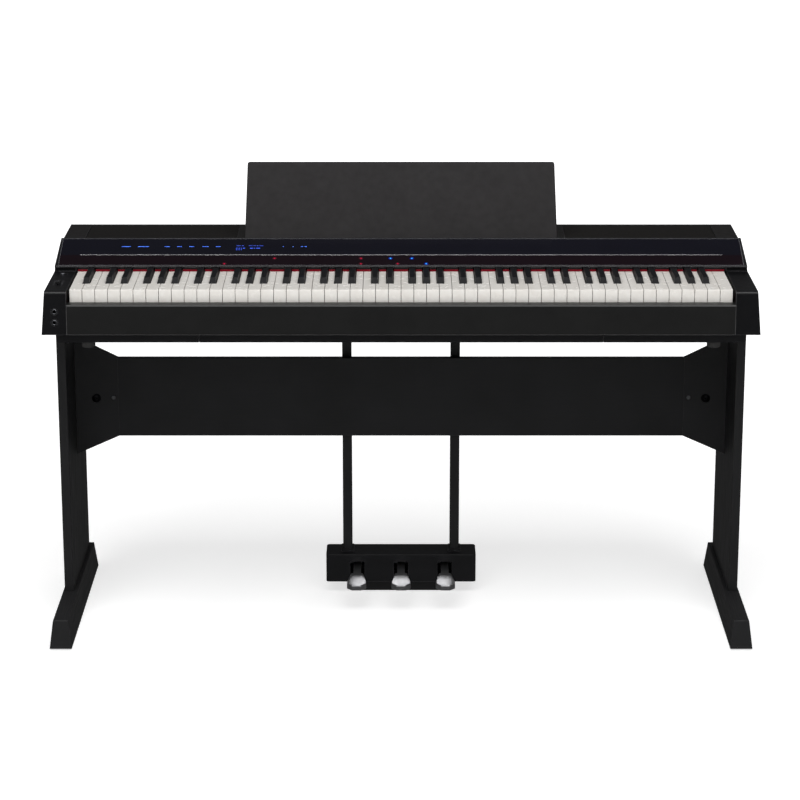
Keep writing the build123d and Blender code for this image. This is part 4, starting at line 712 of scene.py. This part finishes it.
def bushings_piece(name, faces):
    """Turned rings about axes along Y, each given by the middle of its collar's front face."""
    mesh = bmesh.new()
    for middle in faces:
        rings = []
        for radius, y in BUSHING_PROFILE:
            turns = [2 * math.pi * i / BUSHING_STEPS for i in range(BUSHING_STEPS)]
            rings.append([mesh.verts.new(middle + Vector((math.cos(t) * radius, y, math.sin(t) * radius)) * MM)
                          for t in turns])
        for low, high in zip(rings, rings[1:]):
            join_rings(mesh, low, high)
    return case_piece(name, mesh, aluminium, smooth=True)


jack_low, jack_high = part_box("headphone_jacks")
JACK_X = (jack_low.x + jack_high.x) / 2
middle_z = (jack_low.z + jack_high.z) / 2
jack_points = [v.co for v in nodes["headphone_jacks"].data.vertices]
collars = []
for is_upper in (True, False):
    points = [p for p in jack_points if (p.z > middle_z) == is_upper]
    heights = [p.z for p in points]
    collars.append(Vector((JACK_X, min(p.y for p in points), (min(heights) + max(heights)) / 2)))
bushings_piece("jack_bushings", collars)
print("bushings at", [[round(v, 4) for v in c] for c in collars])

# %% [markdown]
# ## Camera
# The instrument is looked at from 4.8 metres in front and 1.9 metres up, through a long lens, so that its
# verticals stay nearly parallel. A small shift keeps the feet in the frame.

# %% Camera
CAMERA_TILT = 14.82
CAMERA_PLACE = (-0.002, -4.772, 1.884)
CAMERA_LENS = 115.5
CAMERA_SHIFT = -0.12
camera = bpy.data.objects.new("camera", bpy.data.cameras.new("camera"))
scene.collection.objects.link(camera)
bpy.context.scene.camera = camera
camera.location = CAMERA_PLACE
camera.rotation_euler = (math.pi / 2 - math.radians(CAMERA_TILT), 0, 0)
camera.data.lens = CAMERA_LENS
camera.data.shift_y = CAMERA_SHIFT
camera.data.clip_end = 200
print("camera tilts down", CAMERA_TILT, "degrees")

# %% [markdown]
# ## Light and floor
# A black object is drawn by what it reflects, so the room matters more than the lamps. The room is dark at
# eye level and light overhead, which keeps the front faces black and lays a sheen on every edge that turns
# upwards. A large soft box overhead gives the main light, and weak ones in front and behind keep both sides
# readable. The floor is a plain pale sheet that glossy parts don't mirror. It glows a little, more so far
# away, to stay white.

# %% Room
scene.view_settings.view_transform = "Standard"
world = bpy.data.worlds.new("studio")
scene.world = world
world.use_nodes = True
room = world.node_tree
room.nodes.clear()
path = add(room, "ShaderNodeLightPath").outputs["Is Camera Ray"]
direction = add(room, "ShaderNodeTexCoord").outputs["Generated"]
LIGHT_FROM = (0.0, -0.57, 0.82)
ends = {0: direction, 1: LIGHT_FROM}
towards = add(room, "ShaderNodeVectorMath", ends, operation="DOT_PRODUCT").outputs["Value"]
spread = {"Value": towards, "From Min": 0.62, "From Max": 1.0, "To Min": 0.07, "To Max": 1.0}
lift = add(room, "ShaderNodeMapRange", spread).outputs["Result"]
dim = add(room, "ShaderNodeBackground", {"Color": (1, 1, 1, 1), "Strength": lift}).outputs[0]
white = add(room, "ShaderNodeBackground", {"Color": (1, 1, 1, 1), "Strength": 1.0}).outputs[0]
seen = add(room, "ShaderNodeMixShader", {0: path, 1: dim, 2: white}).outputs[0]
add(room, "ShaderNodeOutputWorld", {"Surface": seen})
print("world ready")


# %% Soft boxes
def soft_box(name, place, target, width, depth, power, mirrored=False, cone=180, only=None):
    """An area light. Only a mirrored one shows in glossy surfaces, and only can name what it lights."""
    light = bpy.data.lights.new(name, "AREA")
    light.shape = "RECTANGLE"
    light.size, light.size_y = width, depth
    light.energy = power
    lamp = bpy.data.objects.new(name, light)
    scene.collection.objects.link(lamp)
    lamp.visible_glossy = mirrored
    if only:
        lamp.light_linking.receiver_collection = only
    light.spread = math.radians(cone)
    lamp.location = place
    lamp.rotation_euler = (Vector(target) - Vector(place)).to_track_quat("-Z", "Y").to_euler()
    return lamp


MIDDLE = (0, 0, 0.5)
PEDAL_MIDDLE = (0, -0.02, 0.06)
soft_box("overhead_box", (0, -1.4, 3.4), MIDDLE, 4.0, 2.0, 88, mirrored=True)
soft_box("front_box", (-1.2, -4.2, 2.4), MIDDLE, 3.0, 2.0, 20)
soft_box("rear_box", (1.5, 4.0, 2.6), MIDDLE, 3.0, 2.0, 30)
# Flags keep these two off everything but the pedals, whose silver would be as black as the room otherwise.
pedals = bpy.data.collections.new("lit_pedals")
for name in ("left_pedal", "middle_pedal", "right_pedal"):
    pedals.objects.link(nodes[name])
soft_box("pedal_rear_light", (0, 2.8, 1.0), PEDAL_MIDDLE, 1.4, 0.5, 0.11, mirrored=True, cone=16, only=pedals)
soft_box("pedal_front_light", (0, -2.6, 0.9), PEDAL_MIDDLE, 0.8, 0.5, 0.03, mirrored=True, cone=14, only=pedals)
print("five soft boxes")

# %% Floor
FLOOR_HALF = 60
FLOOR_GAP = 0.0005
mesh = bmesh.new()
bmesh.ops.create_grid(mesh, x_segments=24, y_segments=24, size=FLOOR_HALF)
floor_data = bpy.data.meshes.new("floor")
mesh.to_mesh(floor_data)
mesh.free()
floor = bpy.data.objects.new("floor", floor_data)
scene.collection.objects.link(floor)
floor.location.z = -FLOOR_GAP
floor.visible_glossy = False
paper, tree, place = start("white_studio_paper")
away = add(tree, "ShaderNodeVectorMath", {0: place}, operation="LENGTH").outputs["Value"]
spill = {"Value": away, "From Min": 0.8, "From Max": 3.0, "To Min": 0.62, "To Max": 1.0}
finish_material(tree, {
    "Base Color": blend_colours(tree, mottle(tree, place, 300.0, 0.0, 1.0), "#dadada", "#d6d6d6"),
    "Roughness": mottle(tree, place, 40.0, 0.85, 0.95),
    "Specular IOR Level": 0.0,
    "Emission Color": (1, 1, 1, 1),
    "Emission Strength": add(tree, "ShaderNodeMapRange", spill).outputs["Result"],
})
floor_data.materials.append(paper)
print("floor ready")
